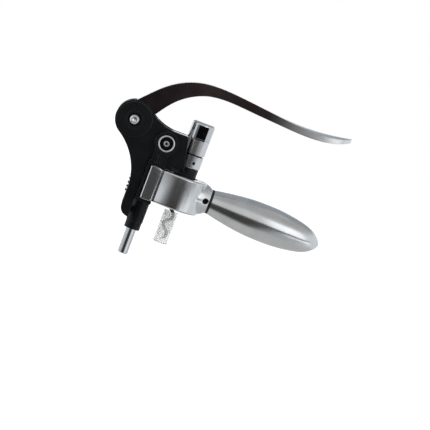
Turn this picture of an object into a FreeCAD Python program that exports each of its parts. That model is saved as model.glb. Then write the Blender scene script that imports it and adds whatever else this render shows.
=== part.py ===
import FreeCAD, Part
import math
import os
from types import SimpleNamespace

import Sketcher

# A lever corkscrew at full size, in millimetres, stored with its lever folded over the grips.
# The origin is on the worm's axis, level with the top of the two clamp jaws. +Z is up along
# the worm, +X points from the worm towards the grips, and the near side of the tool is -Y.
# Words such as behind, below and out are distances from the origin towards -X, -Z and +-Y.

SIZES = {
    # Clearances: a shaft in its bush, and the air between pieces that move past each other
    "running_fit": 0.05,
    "moving_gap": 0.4,
    # Lever axle and its hub
    "hub_behind": 52.9,
    "hub_above": 28.6,
    "hub_radius": 15.3,
    "hub_raise": 1.2,
    "hub_recess_radius": 7.4,
    "hub_recess_depth": 1.0,
    "axle_radius": 4.0,
    "axle_bush_radius": 5.8,
    "axle_thread_radius": 1.9,
    "axle_head_radius": 4.1,
    "axle_head_height": 2.3,
    "axle_thread_depth": 9.0,
    "axle_flange_proud": 0.5,
    "axle_flange_bevel": 0.6,
    "axle_head_room": 1.2,
    "thread_slack": 1.0,
    # Two cast side plates
    "plate_inner": 9.75,
    "plate_thickness": 3.75,
    "leg_rear": 39.5,
    "leg_bottom": 45.0,
    "foot_radius": 7.6,
    "neck_end": 24.0,
    "plate_top": 30.5,
    "top_bend": 18.0,
    "front_top": 7.8,
    "front_bottom": 2.4,
    "front_corner": 2.5,
    "edge_break": 0.7,
    # Spacer and screw at the foot of the plates
    "foot_screw_behind": 35.4,
    "foot_screw_below": 39.8,
    "spacer_radius": 3.2,
    "spacer_screw_radius": 1.5,
    "foot_head_radius": 2.6,
    "foot_head_height": 1.6,
    # Clamp bracket: hinge box, shelf, guide tube and two ears
    "box_rear": 31.2,
    "box_front": 18.2,
    "box_out": 16.5,
    "box_floor": 1.8,
    "rear_wall": 1.9,
    "web_out": 6.5,
    "shelf_gap": 0.6,
    "shelf_top": 3.9,
    "tube_behind": 25.0,
    "tube_radius": 6.75,
    "tube_below": 54.2,
    "tube_tip": 6.35,
    "tube_step": 0.35,
    "bush_radius": 5.3,
    "bush_length": 9.5,
    "bush_flange": 1.0,
    "bush_flange_reach": 1.2,
    "bush_setback": 0.4,
    "shelf_shoulder": 12.0,
    "shelf_waist": 6.0,
    "ear_rear": 29.8,
    "ear_front": 18.3,
    "groove_width": 1.3,
    "groove_depth": 0.8,
    "boss_behind": 23.0,
    "boss_above": 19.8,
    "boss_radius": 9.3,
    "boss_thickness": 3.9,
    "boss_dish_radius": 7.6,
    "boss_dish_depth": 0.8,
    "trim_ring_radius": 6.6,
    "trim_ring_width": 1.35,
    "trim_ring_proud": 1.3,
    "boss_head_radius": 4.7,
    "boss_head_height": 1.4,
    "boss_head_bevel": 0.5,
    "boss_head_rim": 1.3,
    "boss_head_dish": 0.4,
    "boss_screw_setback": 0.2,
    "boss_shank_radius": 2.6,
    "eyelet_radius": 2.2,
    "eyelet_bore": 1.0,
    "eyelet_proud": 0.7,
    "eyelet_depth": 1.2,
    "eyelet_lip": 0.3,
    # Worm and the nut that steers it
    "worm_pitch": 15.6,
    "worm_wire_radius": 1.35,
    "worm_mean_radius": 2.65,
    "worm_turns": 4.25,
    "worm_near_below": 37.5,
    "coil_pitch": 3.3,
    "coil_turns": 3,
    "coil_top": 21.9,
    "tip_turns": 0.25,
    "tip_radius": 0.25,
    "nut_radius": 6.0,
    "nut_flange_radius": 7.8,
    "nut_flange_height": 3.0,
    "nut_boss_radius": 8.8,
    "nut_boss_top": 7.2,
    "helix_gap": 0.3,
    # Gear and rack
    "gear_module": 1.0,
    "gear_teeth": 26,
    "pressure_angle": 20,
    "gear_thinning": 0.12,
    "rack_thinning": 0.08,
    "gear_width": 9.4,
    "rack_width": 8.6,
    "rack_back": 3.9,
    "rack_teeth_below": 18,
    "rack_teeth_above": 2,
    "tongue_width": 6.0,
    "tongue_reach": 3.6,
    "tongue_low": 19.5,
    "tongue_high": 29.6,
    "rack_pin_radius": 1.1,
    "gear_cut_teeth": 18,
    "gear_spare_teeth": 2,
    "cheek_gap": 0.45,
    "slot_room": 1.15,
    "dowel_radius": 1.5,
    "dowel_circle": 8.6,
    "dowel_setback": 0.2,
    "rack_pin_spread": 2.3,
    # Lever arm
    "lever_root_width": 18.6,
    "lever_boss_radius": 14.4,
    "lever_reach": 167.3,
    # Carriage and the column on it
    "column_radius": 9.5,
    "arm_width": 15.0,
    "arm_top": 30.2,
    "arm_recess": 1.8,
    "arm_rim": 1.6,
    "arm_rear_rim": 1.2,
    "collar_seat": 18.9,
    "ring_top": 30.7,
    "spigot_radius": 7.0,
    "spigot_height": 4.5,
    "groove_height": 1.2,
    "groove_radius": 8.1,
    "collar_bottom": 7.6,
    "collar_hole_radius": 1.2,
    "collar_hole_above": 12.1,
    "collar_hole_turn": 17.0,
    "grub_recess": 1.4,
    "grub_gap": 0.3,
    "collar_edge": 0.5,
    "worm_bore_gap": 0.4,
    "head_radius": 5.2,
    "head_height": 4.7,
    "head_notch": 1.4,
    "head_notch_depth": 1.6,
    "head_notch_inner": 2.6,
    "head_bevel": 0.6,
    "head_lift": 0.1,
    "core_squeeze": 0.1,
    "dimple_depth": 1.35,
    "ball_radius": 1.6,
    "cap_height": 14.0,
    "cap_spigot": 2.1,
    "cap_edge": 2.3,
    "cap_lip": 1.0,
    "cap_step": 0.15,
    # Guide rod
    "rod_radius": 4.1,
    "rod_below": 75.5,
    "rod_seat": 26.6,
    "rod_edge": 0.8,
    "rod_thread_depth": 9.0,
    "rod_head_room": 0.2,
    "rod_screw_radius": 1.6,
    "rod_head_radius": 3.4,
    "rod_head_height": 2.2,
    # Sleeve that covers the worm's point
    "sleeve_radius": 5.8,
    "sleeve_wall": 1.5,
    "sleeve_top": 30.5,
    "sleeve_length": 26.7,
    "sleeve_edge": 0.6,
    # Clamp jaws
    "jaw_height": 27.0,
    "jaw_radius": 19.8,
    "jaw_seat_radius": 17.0,
    "jaw_lip_radius": 11.0,
    "jaw_lip_height": 3.0,
    "jaw_parting": 0.5,
    "jaw_edge": 1.6,
    "jaw_flank_behind": 3.7,
    "knuckle_rear": 28.2,
    "knuckle_front": 19.1,
    "knuckle_out": 17.0,
    "knuckle_in": 7.7,
    "knuckle_corner": 1.5,
    "knuckle_bevel": 0.35,
    "hinge_behind": 24.6,
    "hinge_out": 13.4,
    "hinge_pin_radius": 1.6,
    "hinge_pin_cover": 0.9,
    "neck_reach": 25.3,
    "neck_below": 12.6,
    "neck_radius": 9.6,
    "neck_root_back": 7.8,
    "neck_root_out": 14.5,
    "neck_root_drop": 0.1,
    "neck_bend_back": 0.8,
    "neck_bend_out": 12.2,
    "neck_bend_drop": 0.6,
    "jaw_pad_thickness": 2.4,
    "jaw_pad_height": 22.0,
    "jaw_pad_start_turn": 6,
    "jaw_pad_end_turn": 150,
    # Grips
    "washer_thickness": 1.6,
    "washer_radius": 9.9,
    "grip_reach": 120.4,
    "grip_neck_radius": 9.7,
    "grip_belly_radius": 15.0,
    "grip_parting": 0.8,
    "grip_droop": 1.5,
    "tang_radius": 2.9,
    "tang_out": 4.6,
    "tang_length": 6.4,
    "grip_screw_setback": 3.4,
    "grip_screw_radius": 1.2,
    "grip_head_radius": 2.1,
    "grip_head_height": 1.4,
    "grip_head_seat": 7.7,
    "grip_head_room": 0.25,
}

V = FreeCAD.Vector
doc = FreeCAD.newDocument("lever_corkscrew")
sheet = doc.addObject("Spreadsheet::Sheet", "dim")
for row, (alias, number) in enumerate(SIZES.items(), start=1):
    sheet.set("A%d" % row, alias)
    sheet.set("B%d" % row, repr(number))
    sheet.setAlias("B%d" % row, alias)
doc.recompute()
size = SimpleNamespace(**{alias: float(sheet.get(alias)) for alias in SIZES})

# Places that several pieces share, worked out from the sheet
hub = V(-size.hub_behind, 0, size.hub_above)
boss = V(-size.boss_behind, 0, size.boss_above)
plate_outer = size.plate_inner + size.plate_thickness
hub_face = plate_outer + size.hub_raise
boss_face = plate_outer + size.boss_thickness
pitch_radius = size.gear_module * size.gear_teeth / 2
tooth_pitch = math.pi * size.gear_module
addendum = size.gear_module
dedendum = 1.25 * size.gear_module
pitch_line = -size.hub_behind + pitch_radius
rack_front = pitch_line + dedendum + size.rack_back
bearing_radius = size.rod_radius + size.running_fit
neck_axis = -size.neck_below
box_below = size.jaw_height + 2 * size.moving_gap + size.box_floor
BOX_BELOW = "(dim.jaw_height + 2 * dim.moving_gap + dim.box_floor)"
PIN_LENGTH = BOX_BELOW + " + dim.shelf_top - dim.hinge_pin_cover"
grip_screw_at = size.neck_reach - size.grip_screw_setback
sub_parts = []


def keep(piece, label):
    """Give a finished sub-part its own name and put it on the list to write."""
    piece.Label = label
    sub_parts.append(piece)
    return piece


def new_body(label):
    return keep(doc.addObject("PartDesign::Body", label), label)


def add_sketch(body, role, offset="0"):
    """A sketch on one of the body's own origin planes, moved along its normal.
    XY looks down with +Z as normal, XZ has -Y as normal and YZ has +X as normal."""
    sketch = body.newObject("Sketcher::SketchObject", body.Name + "_sketch")
    plane = [feature for feature in body.Origin.OriginFeatures if feature.Role == role]
    sketch.AttachmentSupport = [(plane[0], "")]
    sketch.MapMode = "FlatFace"
    sketch.setExpression("AttachmentOffset.Base.z", offset)
    return sketch


def add_edge(sketch, curve):
    index = sketch.addGeometry(curve, False)
    sketch.addConstraint(Sketcher.Constraint("Block", index))


def outline(sketch, start, *steps):
    """A closed outline: a step of one point is a line to it, a step of two points is an arc
    through the first to the second, and a longer step is a spline through all its points."""
    here = V(start[0], start[1], 0)
    first = here
    for step in steps:
        points = [V(x, y, 0) for x, y in step]
        if len(points) == 1:
            add_edge(sketch, Part.LineSegment(here, points[0]))
        elif len(points) == 2:
            add_edge(sketch, Part.Arc(here, points[0], points[1]))
        else:
            curve = Part.BSplineCurve()
            curve.interpolate([here] + points)
            add_edge(sketch, curve)
        here = points[-1]
    if here.distanceToPoint(first) > 1e-6:
        add_edge(sketch, Part.LineSegment(here, first))


def circle(sketch, x, y, radius):
    add_edge(sketch, Part.Circle(V(x, y, 0), V(0, 0, 1), radius))


def rectangle(sketch, left, right, low, high):
    outline(sketch, (left, low), [(right, low)], [(right, high)], [(left, high)])


def extrude(body, kind, sketch, length, reverse=False, midplane=False):
    """Pad or Pocket of a sketch. A Pocket goes against the sketch's normal unless reversed."""
    feature = body.newObject("PartDesign::" + kind, body.Name + "_" + kind)
    feature.Profile = sketch
    feature.setExpression("Length", length)
    feature.Reversed = reverse
    if midplane:
        feature.SideType = "Symmetric"
    doc.recompute()
    return feature


def cut_checked(body, sketch, length, reverse=False, midplane=False):
    """A Pocket that has to take material away."""
    before = body.Shape.Volume
    feature = extrude(body, "Pocket", sketch, length, reverse, midplane)
    if not body.Shape.Volume < before - 1e-3:
        raise RuntimeError("a pocket in %s cuts nothing" % body.Label)
    return feature


def dress(body, kind, radius, test):
    """Fillet or Chamfer the edges of the body's last feature that pass a test."""
    base = body.Tip
    names = ["Edge%d" % (i + 1) for i, edge in enumerate(base.Shape.Edges) if test(edge)]
    if not names:
        raise RuntimeError("no edge of %s passes its test" % body.Label)
    feature = body.newObject("PartDesign::" + kind, body.Name + "_" + kind)
    feature.Base = (base, names)
    feature.setExpression("Radius" if kind == "Fillet" else "Size", radius)
    doc.recompute()
    return feature


def turn(body, sketch, angle=360):
    """Revolve a sketch drawn on XZ about the body's own Z axis."""
    feature = body.newObject("PartDesign::Revolution", body.Name + "_turned")
    feature.Profile = sketch
    feature.ReferenceAxis = (sketch, ["V_Axis"])
    feature.Angle = angle
    doc.recompute()
    return feature


TURN_AXIS = {
    "up": FreeCAD.Rotation(),
    "near": FreeCAD.Rotation(V(1, 0, 0), 90),
    "far": FreeCAD.Rotation(V(1, 0, 0), -90),
    "forward": FreeCAD.Rotation(V(0, 1, 0), 90),
}


def turned(label, start, *steps, at=V(), along="up"):
    """A turned piece: an outline of radius and height, revolved, then placed at a point
    with its axis up (+Z), towards the near side (-Y), the far side (+Y) or forward (+X)."""
    body = new_body(label)
    sketch = add_sketch(body, "XZ_Plane")
    outline(sketch, start, *steps)
    turn(body, sketch)
    body.Placement = FreeCAD.Placement(at, TURN_AXIS[along])
    return body


def rod_tool(label, radius, length, at, along="up"):
    """A plain cylinder, used to cut a hole or as a pin. Radius and length are expressions."""
    tool = doc.addObject("Part::Cylinder", label)
    tool.setExpression("Radius", radius)
    tool.setExpression("Height", length)
    tool.Placement = FreeCAD.Placement(at, TURN_AXIS[along])
    return tool


def boolean(kind, label, base, tools):
    """Part::Cut, Part::MultiFuse or Part::MultiCommon of document objects."""
    result = doc.addObject("Part::" + kind, label)
    if kind == "Cut":
        if len(tools) > 1:
            joined = doc.addObject("Part::MultiFuse", label + "_tools")
            joined.Shapes = tools
            tools = [joined]
        result.Base = base
        result.Tool = tools[0]
    else:
        result.Shapes = [base] + tools
    doc.recompute()
    return result


# Side plates

def plate_outline(sketch):
    """The plate seen from the near side: a round hub, a neck that sweeps into an upright leg,
    a level top edge and a slanted front edge. Both sweeps are arcs tangent to the hub."""
    rear = -size.leg_rear
    reach = rear - hub.x
    drop = hub.z + size.neck_end
    neck_radius = (reach**2 + drop**2 - size.hub_radius**2) / (2 * (size.hub_radius + reach))
    neck_centre = V(rear - neck_radius, 0, -size.neck_end)
    neck_start = hub + (neck_centre - hub).normalize() * size.hub_radius
    along = -size.top_bend - hub.x
    rise = size.plate_top - hub.z
    top_radius = (along**2 + rise**2 - size.hub_radius**2) / (2 * (size.hub_radius - rise))
    top_centre = V(-size.top_bend, 0, size.plate_top + top_radius)
    top_start = hub + (top_centre - hub).normalize() * size.hub_radius
    hub_rear = hub + V(-0.9, 0, 0.436) * size.hub_radius

    def arc_middle(centre, radius, start, end):
        middle = centre + ((start - centre) + (end - centre)).normalize() * radius
        return middle.x, middle.z

    neck_end = V(rear, 0, -size.neck_end)
    top_end = V(-size.top_bend, 0, size.plate_top)
    foot = size.foot_radius
    foot_rear = (rear, -size.leg_bottom + foot)
    foot_mid = (rear + foot * (1 - math.sqrt(0.5)), -size.leg_bottom + foot * (1 - math.sqrt(0.5)))
    corner = size.front_corner
    outline(
        sketch,
        (neck_start.x, neck_start.z),
        [(hub_rear.x, hub_rear.z), (top_start.x, top_start.z)],
        [arc_middle(top_centre, top_radius, top_start, top_end), (top_end.x, top_end.z)],
        [(-size.front_top - corner, size.plate_top)],
        [(-size.front_top - 0.35 * corner, size.plate_top - 0.3 * corner),
         (-size.front_top, size.plate_top - corner)],
        [(-size.front_bottom, size.shelf_top)],
        [(-size.box_rear, size.shelf_top)],
        [(-size.box_rear, -size.leg_bottom)],
        [(rear + foot, -size.leg_bottom)],
        [foot_mid, foot_rear],
        [(neck_end.x, neck_end.z)],
        [arc_middle(neck_centre, neck_radius, neck_end, neck_start), (neck_start.x, neck_start.z)],
    )


def side_plate(label, near):
    """One plate: the outline, a raised round pad at the hub with a recess for the bush's
    flange, and holes for the bush, the bracket's screw and, on the far plate, the foot screw."""
    body = new_body(label)
    sign = "" if near else "-"
    blank = add_sketch(body, "XZ_Plane", sign + "dim.plate_inner")
    plate_outline(blank)
    extrude(body, "Pad", blank, "dim.plate_thickness", reverse=not near)
    face = -plate_outer if near else plate_outer

    def on_outer_face(edge):
        box = edge.BoundBox
        return abs(box.YMin - face) < 1e-4 and abs(box.YMax - face) < 1e-4

    dress(body, "Fillet", "dim.edge_break", on_outer_face)
    pad = add_sketch(body, "XZ_Plane", sign + "(dim.plate_inner + dim.plate_thickness)")
    circle(pad, hub.x, hub.z, size.hub_radius - 2 * size.edge_break)
    extrude(body, "Pad", pad, "dim.hub_raise", reverse=not near)
    recess = add_sketch(
        body, "XZ_Plane", sign + "(dim.plate_inner + dim.plate_thickness + dim.hub_raise)")
    circle(recess, hub.x, hub.z, size.hub_recess_radius)
    cut_checked(body, recess, "dim.hub_recess_depth", reverse=not near)
    holes = add_sketch(body, "XZ_Plane", "0")
    circle(holes, hub.x, hub.z, size.axle_bush_radius)
    circle(holes, boss.x, boss.z, size.boss_shank_radius)
    cut_checked(body, holes, "2 * dim.plate_inner + 2 * dim.plate_thickness", reverse=near)
    pin = add_sketch(body, "XZ_Plane", sign + "dim.plate_inner")
    circle(pin, -size.foot_screw_behind, -size.foot_screw_below, size.spacer_screw_radius)
    depth = "dim.plate_thickness / 2" if near else "dim.plate_thickness"
    cut_checked(body, pin, depth, reverse=near)
    return body


side_plate("side_plate_near", near=True)
side_plate("side_plate_far", near=False)

foot_at = V(-size.foot_screw_behind, size.plate_inner, -size.foot_screw_below)
spacer_length = 2 * size.plate_inner
dowel_end = spacer_length + size.plate_thickness / 2
screw_hole = spacer_length / 2
turned(
    "foot_spacer",
    (size.spacer_screw_radius, 0),
    [(size.spacer_radius, 0)],
    [(size.spacer_radius, spacer_length)],
    [(size.spacer_screw_radius, spacer_length)],
    [(size.spacer_screw_radius, dowel_end)],
    [(0, dowel_end)],
    [(0, screw_hole)],
    [(size.spacer_screw_radius, screw_hole)],
    at=foot_at, along="near",
)


def socket_screw(label, head_radius, head_height, shank_radius, shank_length, at, along):
    """A button-head screw with its head's seat at the given point and its head outwards.
    The dome is an arc over the head, and a socket as wide as the shank is sunk in it."""
    socket = 0.45 * head_radius
    rim = 0.35 * head_height
    crown = head_height
    return turned(
        label,
        (0, -shank_length),
        [(shank_radius, -shank_length)],
        [(shank_radius, 0)],
        [(head_radius, 0)],
        [(head_radius, rim)],
        [(0.86 * head_radius, 0.75 * head_height), (0.6 * head_radius, crown)],
        [(socket, crown)],
        [(socket, 0.4 * head_height)],
        [(0, 0.25 * head_height)],
        at=at, along=along,
    )


socket_screw(
    "foot_screw", size.foot_head_radius, size.foot_head_height, size.spacer_screw_radius,
    plate_outer - size.plate_inner + spacer_length / 2 - size.thread_slack,
    V(foot_at.x, plate_outer, foot_at.z), "far",
)

# Lever axle: a pin held between two flanged bushes by two button-head screws

axle_half = plate_outer
axle_bottom = axle_half - size.axle_thread_depth
turned(
    "axle_pin",
    (0, -axle_bottom),
    [(size.axle_thread_radius, -axle_bottom)],
    [(size.axle_thread_radius, -axle_half)],
    [(size.axle_radius, -axle_half)],
    [(size.axle_radius, axle_half)],
    [(size.axle_thread_radius, axle_half)],
    [(size.axle_thread_radius, axle_bottom)],
    [(0, axle_bottom)],
    at=hub, along="near",
)
flange_seat = hub_face - size.hub_recess_depth
flange_face = hub_face + size.axle_flange_proud
for side, along, sign in (("near", "near", -1), ("far", "far", 1)):
    turned(
        "axle_bush_" + side,
        (size.axle_radius, 0),
        [(size.axle_bush_radius, 0)],
        [(size.axle_bush_radius, flange_seat - size.plate_inner)],
        [(size.hub_recess_radius, flange_seat - size.plate_inner)],
        [(size.hub_recess_radius, flange_face - size.plate_inner - size.axle_flange_bevel)],
        [(size.hub_recess_radius - size.axle_flange_bevel, flange_face - size.plate_inner)],
        [(size.axle_head_radius + size.axle_head_room, flange_face - size.plate_inner)],
        [(size.axle_head_radius + size.moving_gap, plate_outer - size.plate_inner)],
        [(size.axle_radius, plate_outer - size.plate_inner)],
        at=hub + V(0, sign * size.plate_inner, 0), along=along,
    )
    socket_screw(
        "axle_screw_" + side, size.axle_head_radius, size.axle_head_height + hub_face - plate_outer,
        size.axle_thread_radius, size.axle_thread_depth - size.thread_slack,
        hub + V(0, sign * plate_outer, 0), along,
    )

# Clamp bracket

def clamp_bracket():
    """One casting: the box that carries the jaws' hinge pins, the shelf over the jaws with
    the nut's round boss, the guide tube below, and an ear with a round boss on each side."""
    body = new_body("clamp_bracket")
    box = add_sketch(body, "XY_Plane", "-" + BOX_BELOW)
    rectangle(box, -size.box_rear, -size.box_front, -size.box_out, size.box_out)
    extrude(body, "Pad", box, BOX_BELOW + " + dim.shelf_top")
    shelf = add_sketch(body, "XY_Plane", "dim.shelf_gap")
    wide = plate_outer
    rear = -size.box_front - 1
    outline(
        shelf, (rear, -wide), [(-size.shelf_shoulder, -wide)],
        [(-size.shelf_waist, -size.nut_boss_radius * 1.05)],
        [(0, -size.nut_boss_radius)],
        [(size.nut_boss_radius, 0), (0, size.nut_boss_radius)],
        [(-size.shelf_waist, size.nut_boss_radius * 1.05)],
        [(-size.shelf_shoulder, wide)], [(rear, wide)],
    )
    extrude(body, "Pad", shelf, "dim.shelf_top - dim.shelf_gap")
    nut_boss = add_sketch(body, "XY_Plane", "dim.shelf_gap")
    circle(nut_boss, 0, 0, size.nut_boss_radius)
    extrude(body, "Pad", nut_boss, "dim.nut_boss_top - dim.shelf_gap")
    tube = add_sketch(body, "XY_Plane", "dim.tube_tip - dim.tube_below")
    circle(tube, -size.tube_behind, 0, size.tube_radius)
    extrude(body, "Pad", tube, "dim.tube_below - dim.tube_tip")
    tube_end = add_sketch(body, "XY_Plane", "-dim.tube_below")
    circle(tube_end, -size.tube_behind, 0, size.tube_radius - size.tube_step)
    extrude(body, "Pad", tube_end, "dim.tube_tip")
    for sign, reverse in (("", False), ("-", True)):
        ear = add_sketch(body, "XZ_Plane", sign + "(dim.plate_inner + dim.plate_thickness)")
        rectangle(ear, -size.ear_rear, -size.ear_front, size.shelf_top - 1, boss.z)
        extrude(body, "Pad", ear, "dim.box_out - dim.plate_inner - dim.plate_thickness", reverse)
        disc = add_sketch(body, "XZ_Plane", sign + "(dim.plate_inner + dim.plate_thickness)")
        circle(disc, boss.x, boss.z, size.boss_radius)
        extrude(body, "Pad", disc, "dim.boss_thickness", reverse)
        dish = add_sketch(
            body, "XZ_Plane",
            sign + "(dim.plate_inner + dim.plate_thickness + dim.boss_thickness)")
        circle(dish, boss.x, boss.z, size.boss_dish_radius)
        cut_checked(body, dish, "dim.boss_dish_depth", reverse)
        groove = add_sketch(body, "XZ_Plane", sign + "dim.box_out")
        for step in (0.3, 0.5, 0.7):
            middle = -size.ear_rear + step * (size.ear_rear - size.ear_front)
            rectangle(
                groove, middle - size.groove_width / 2, middle + size.groove_width / 2,
                size.shelf_top - 1, boss.z - 0.8 * size.boss_radius)
        cut_checked(body, groove, "dim.groove_depth", reverse)
        pocket = add_sketch(body, "XY_Plane", "dim.moving_gap")
        side = -1 if reverse else 1
        rectangle(
            pocket, -size.box_rear + size.rear_wall, -size.box_front + 1,
            *sorted((side * size.web_out, side * (size.box_out + 1))))
        cut_checked(body, pocket, "dim.jaw_height + 2 * dim.moving_gap")
    screw_hole = add_sketch(body, "XZ_Plane")
    circle(screw_hole, boss.x, boss.z, size.boss_shank_radius)
    cut_checked(body, screw_hole, "4 * dim.box_out", midplane=True)
    bore = add_sketch(body, "XY_Plane", "dim.shelf_top")
    circle(bore, -size.tube_behind, 0, size.bush_radius)
    cut_checked(body, bore, "dim.tube_below + dim.shelf_top")
    nut_bore = add_sketch(body, "XY_Plane", "dim.nut_boss_top")
    circle(nut_bore, 0, 0, size.nut_radius)
    cut_checked(body, nut_bore, "dim.nut_boss_top")
    pins = add_sketch(body, "XY_Plane", "-" + BOX_BELOW)
    for side in (-1, 1):
        circle(pins, -size.hinge_behind, side * size.hinge_out, size.hinge_pin_radius)
    cut_checked(body, pins, PIN_LENGTH, reverse=True)
    return body


clamp_bracket()

upper_flange = size.shelf_top + size.bush_flange
turned(
    "guide_bush_upper",
    (bearing_radius, -size.bush_length),
    [(size.bush_radius, -size.bush_length)],
    [(size.bush_radius, 0)],
    [(size.bush_radius + size.bush_flange_reach, 0)],
    [(size.bush_radius + size.bush_flange_reach, size.bush_flange)],
    [(bearing_radius, size.bush_flange)],
    at=V(-size.tube_behind, 0, size.shelf_top),
)
turned(
    "guide_bush_lower",
    (bearing_radius, 0),
    [(size.bush_radius, 0)],
    [(size.bush_radius, size.bush_length)],
    [(bearing_radius, size.bush_length)],
    at=V(-size.tube_behind, 0, -size.tube_below + size.bush_setback),
)
for side, sign in (("near", -1), ("far", 1)):
    at = V(-size.hinge_behind, sign * size.hinge_out, -box_below)
    keep(rod_tool("jaw_pin", "dim.hinge_pin_radius", PIN_LENGTH, at), "jaw_pin_" + side)

# Trim on the ears' round bosses: a chrome ring round a dark screw with a hollow rivet in it


def near_and_far(label, make):
    """Two equal fasteners, one on each side, kept together as one sub-part."""
    pair = [make("near", -1), make("far", 1)]
    for piece in pair:
        sub_parts.remove(piece)
    group = doc.addObject("Part::Compound", label)
    group.Links = pair
    doc.recompute()
    return keep(group, label)


dish_floor = boss_face - size.boss_dish_depth


def trim_ring(side, sign):
    inner = size.trim_ring_radius - size.trim_ring_width
    middle = size.trim_ring_radius - size.trim_ring_width / 2
    top = size.boss_dish_depth + size.trim_ring_proud
    return turned(
        "trim_ring_" + side,
        (inner, 0),
        [(size.trim_ring_radius, 0)],
        [(size.trim_ring_radius, top - size.trim_ring_width / 2)],
        [(middle, top), (inner, top - size.trim_ring_width / 2)],
        at=boss + V(0, sign * dish_floor, 0), along=side,
    )


def boss_screw(side, sign):
    head = size.boss_head_radius
    high = size.boss_head_height
    long = dish_floor - size.plate_inner - size.boss_screw_setback
    floor = high - size.eyelet_depth
    bevel = size.boss_head_bevel
    rim = head - size.boss_head_rim
    dish = high - size.boss_head_dish
    return turned(
        "boss_screw_" + side,
        (size.eyelet_radius, floor),
        [(0, floor)],
        [(0, -long)],
        [(size.boss_shank_radius, -long)],
        [(size.boss_shank_radius, 0)],
        [(head, 0)],
        [(head, high - bevel)],
        [(head - bevel, high)],
        [(rim, high)],
        [(rim - bevel, dish)],
        [(size.eyelet_radius, dish)],
        at=boss + V(0, sign * dish_floor, 0), along=side,
    )


def eyelet(side, sign):
    base = size.boss_head_height - size.eyelet_depth
    top = size.boss_head_height + size.eyelet_proud
    return turned(
        "eyelet_" + side,
        (size.eyelet_bore, base),
        [(size.eyelet_radius, base)],
        [(size.eyelet_radius, top - size.eyelet_lip)],
        [(size.eyelet_radius - size.eyelet_lip, top)],
        [(size.eyelet_bore, top)],
        at=boss + V(0, sign * dish_floor, 0), along=side,
    )


near_and_far("boss_rings", trim_ring)
near_and_far("boss_screws", boss_screw)
near_and_far("boss_eyelets", eyelet)

# Worm: one round wire, close-wound round the head's core and then opened out

coil_bottom = size.coil_top - size.coil_turns * size.coil_pitch
worm_bottom = coil_bottom - (size.worm_turns - size.tip_turns) * size.worm_pitch
worm_outer = size.worm_mean_radius + size.worm_wire_radius
FULL = 2 * math.pi


def worm_angle(height):
    """Angle of the open helix at a height: its near strand crosses the middle of the view
    where worm_near_below says, and it climbs right-handed."""
    return -math.pi / 2 + FULL * (height + size.worm_near_below) / size.worm_pitch


def helix_node(angle, height, rise):
    """A point of the wire's middle line and its direction. The rise is per radian."""
    r = size.worm_mean_radius
    point = V(r * math.cos(angle), r * math.sin(angle), height)
    return point, V(-r * math.sin(angle), r * math.cos(angle), rise).normalize()


def open_nodes(low, high):
    """Nodes of the open helix, a quarter turn apart or less."""
    rise = size.worm_pitch / FULL
    count = math.ceil(4 * (high - low) / size.worm_pitch - 1e-9)
    heights = [low + (high - low) * i / count for i in range(count + 1)]
    return [helix_node(worm_angle(z), z, rise) for z in heights]


def biarc(start, end):
    """Two arcs that join two nodes and meet with one tangent."""
    (p0, t0), (p1, t1) = start, end
    chord = p1 - p0
    both = t0 + t1
    a = 2 * (1 - t0.dot(t1))
    b = chord.dot(both)
    reach = (math.sqrt(b * b + a * chord.dot(chord)) - b) / a
    q0 = p0 + t0 * reach
    q1 = p1 - t1 * reach
    joint = (q0 + q1) * 0.5

    def arc(left, corner, right):
        half = (right - left).Length / 2
        cosine = half / (corner - left).Length
        middle = (left + right) * 0.5
        return Part.Arc(left, middle + (corner - middle) * (cosine / (1 + cosine)), right)

    return [arc(p0, q0, joint).toShape(), arc(joint, q1, p1).toShape()]


def ring_at(node, radius):
    return Part.Wire(Part.Circle(node[0], node[1], radius).toShape())


def wire_solid(nodes, radius, end_radius=None):
    """A round wire along the biarcs through the nodes, tapered if an end radius is given."""
    edges = []
    for start, end in zip(nodes, nodes[1:]):
        edges += biarc(start, end)
    rings = [ring_at(nodes[0], radius)]
    if end_radius:
        rings.append(ring_at(nodes[-1], end_radius))
    return Part.Wire(edges).makePipeShell(rings, True, False)


def worm_shape():
    rise = size.worm_pitch / FULL
    coil_rise = size.coil_pitch / FULL
    open_part = open_nodes(worm_bottom, coil_bottom)
    turn_in = helix_node(worm_angle(coil_bottom), coil_bottom, (rise + coil_rise) / 2)
    nodes = open_part[:-1] + [turn_in]
    for step in range(1, 4 * int(size.coil_turns) + 1):
        angle = worm_angle(coil_bottom) + step * FULL / 4
        nodes.append(helix_node(angle, coil_bottom + step * size.coil_pitch / 4, coil_rise))
    tip = open_nodes(worm_bottom - size.tip_turns * size.worm_pitch, worm_bottom)
    tip.reverse()
    tip = [(point, direction * -1) for point, direction in tip]
    shank = wire_solid(nodes, size.worm_wire_radius)
    point = wire_solid(tip, size.worm_wire_radius, size.tip_radius)
    return shank.fuse(point).removeSplitter()


def part_feature(label, shape, register=True):
    piece = doc.addObject("Part::Feature", label)
    piece.Shape = shape
    return keep(piece, label) if register else piece


worm = part_feature("worm", worm_shape())

nut_low = -size.nut_flange_height + size.shelf_gap
nut_blank = turned(
    "nut_blank",
    (0, nut_low),
    [(size.nut_flange_radius, nut_low)],
    [(size.nut_flange_radius, size.shelf_gap)],
    [(size.nut_radius, size.shelf_gap)],
    [(size.nut_radius, size.nut_boss_top)],
    [(0, size.nut_boss_top)],
)
sub_parts.remove(nut_blank)
margin = 1.5 * size.worm_wire_radius + 1
channel = part_feature(
    "nut_channel",
    wire_solid(open_nodes(nut_low - margin, size.nut_boss_top + margin),
               size.worm_wire_radius + size.helix_gap),
    register=False)
keep(boolean("Cut", "worm_nut", nut_blank, [channel]), "worm_nut")

# Worm head: a notched disc over a core that the wire's close turns grip

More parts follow.
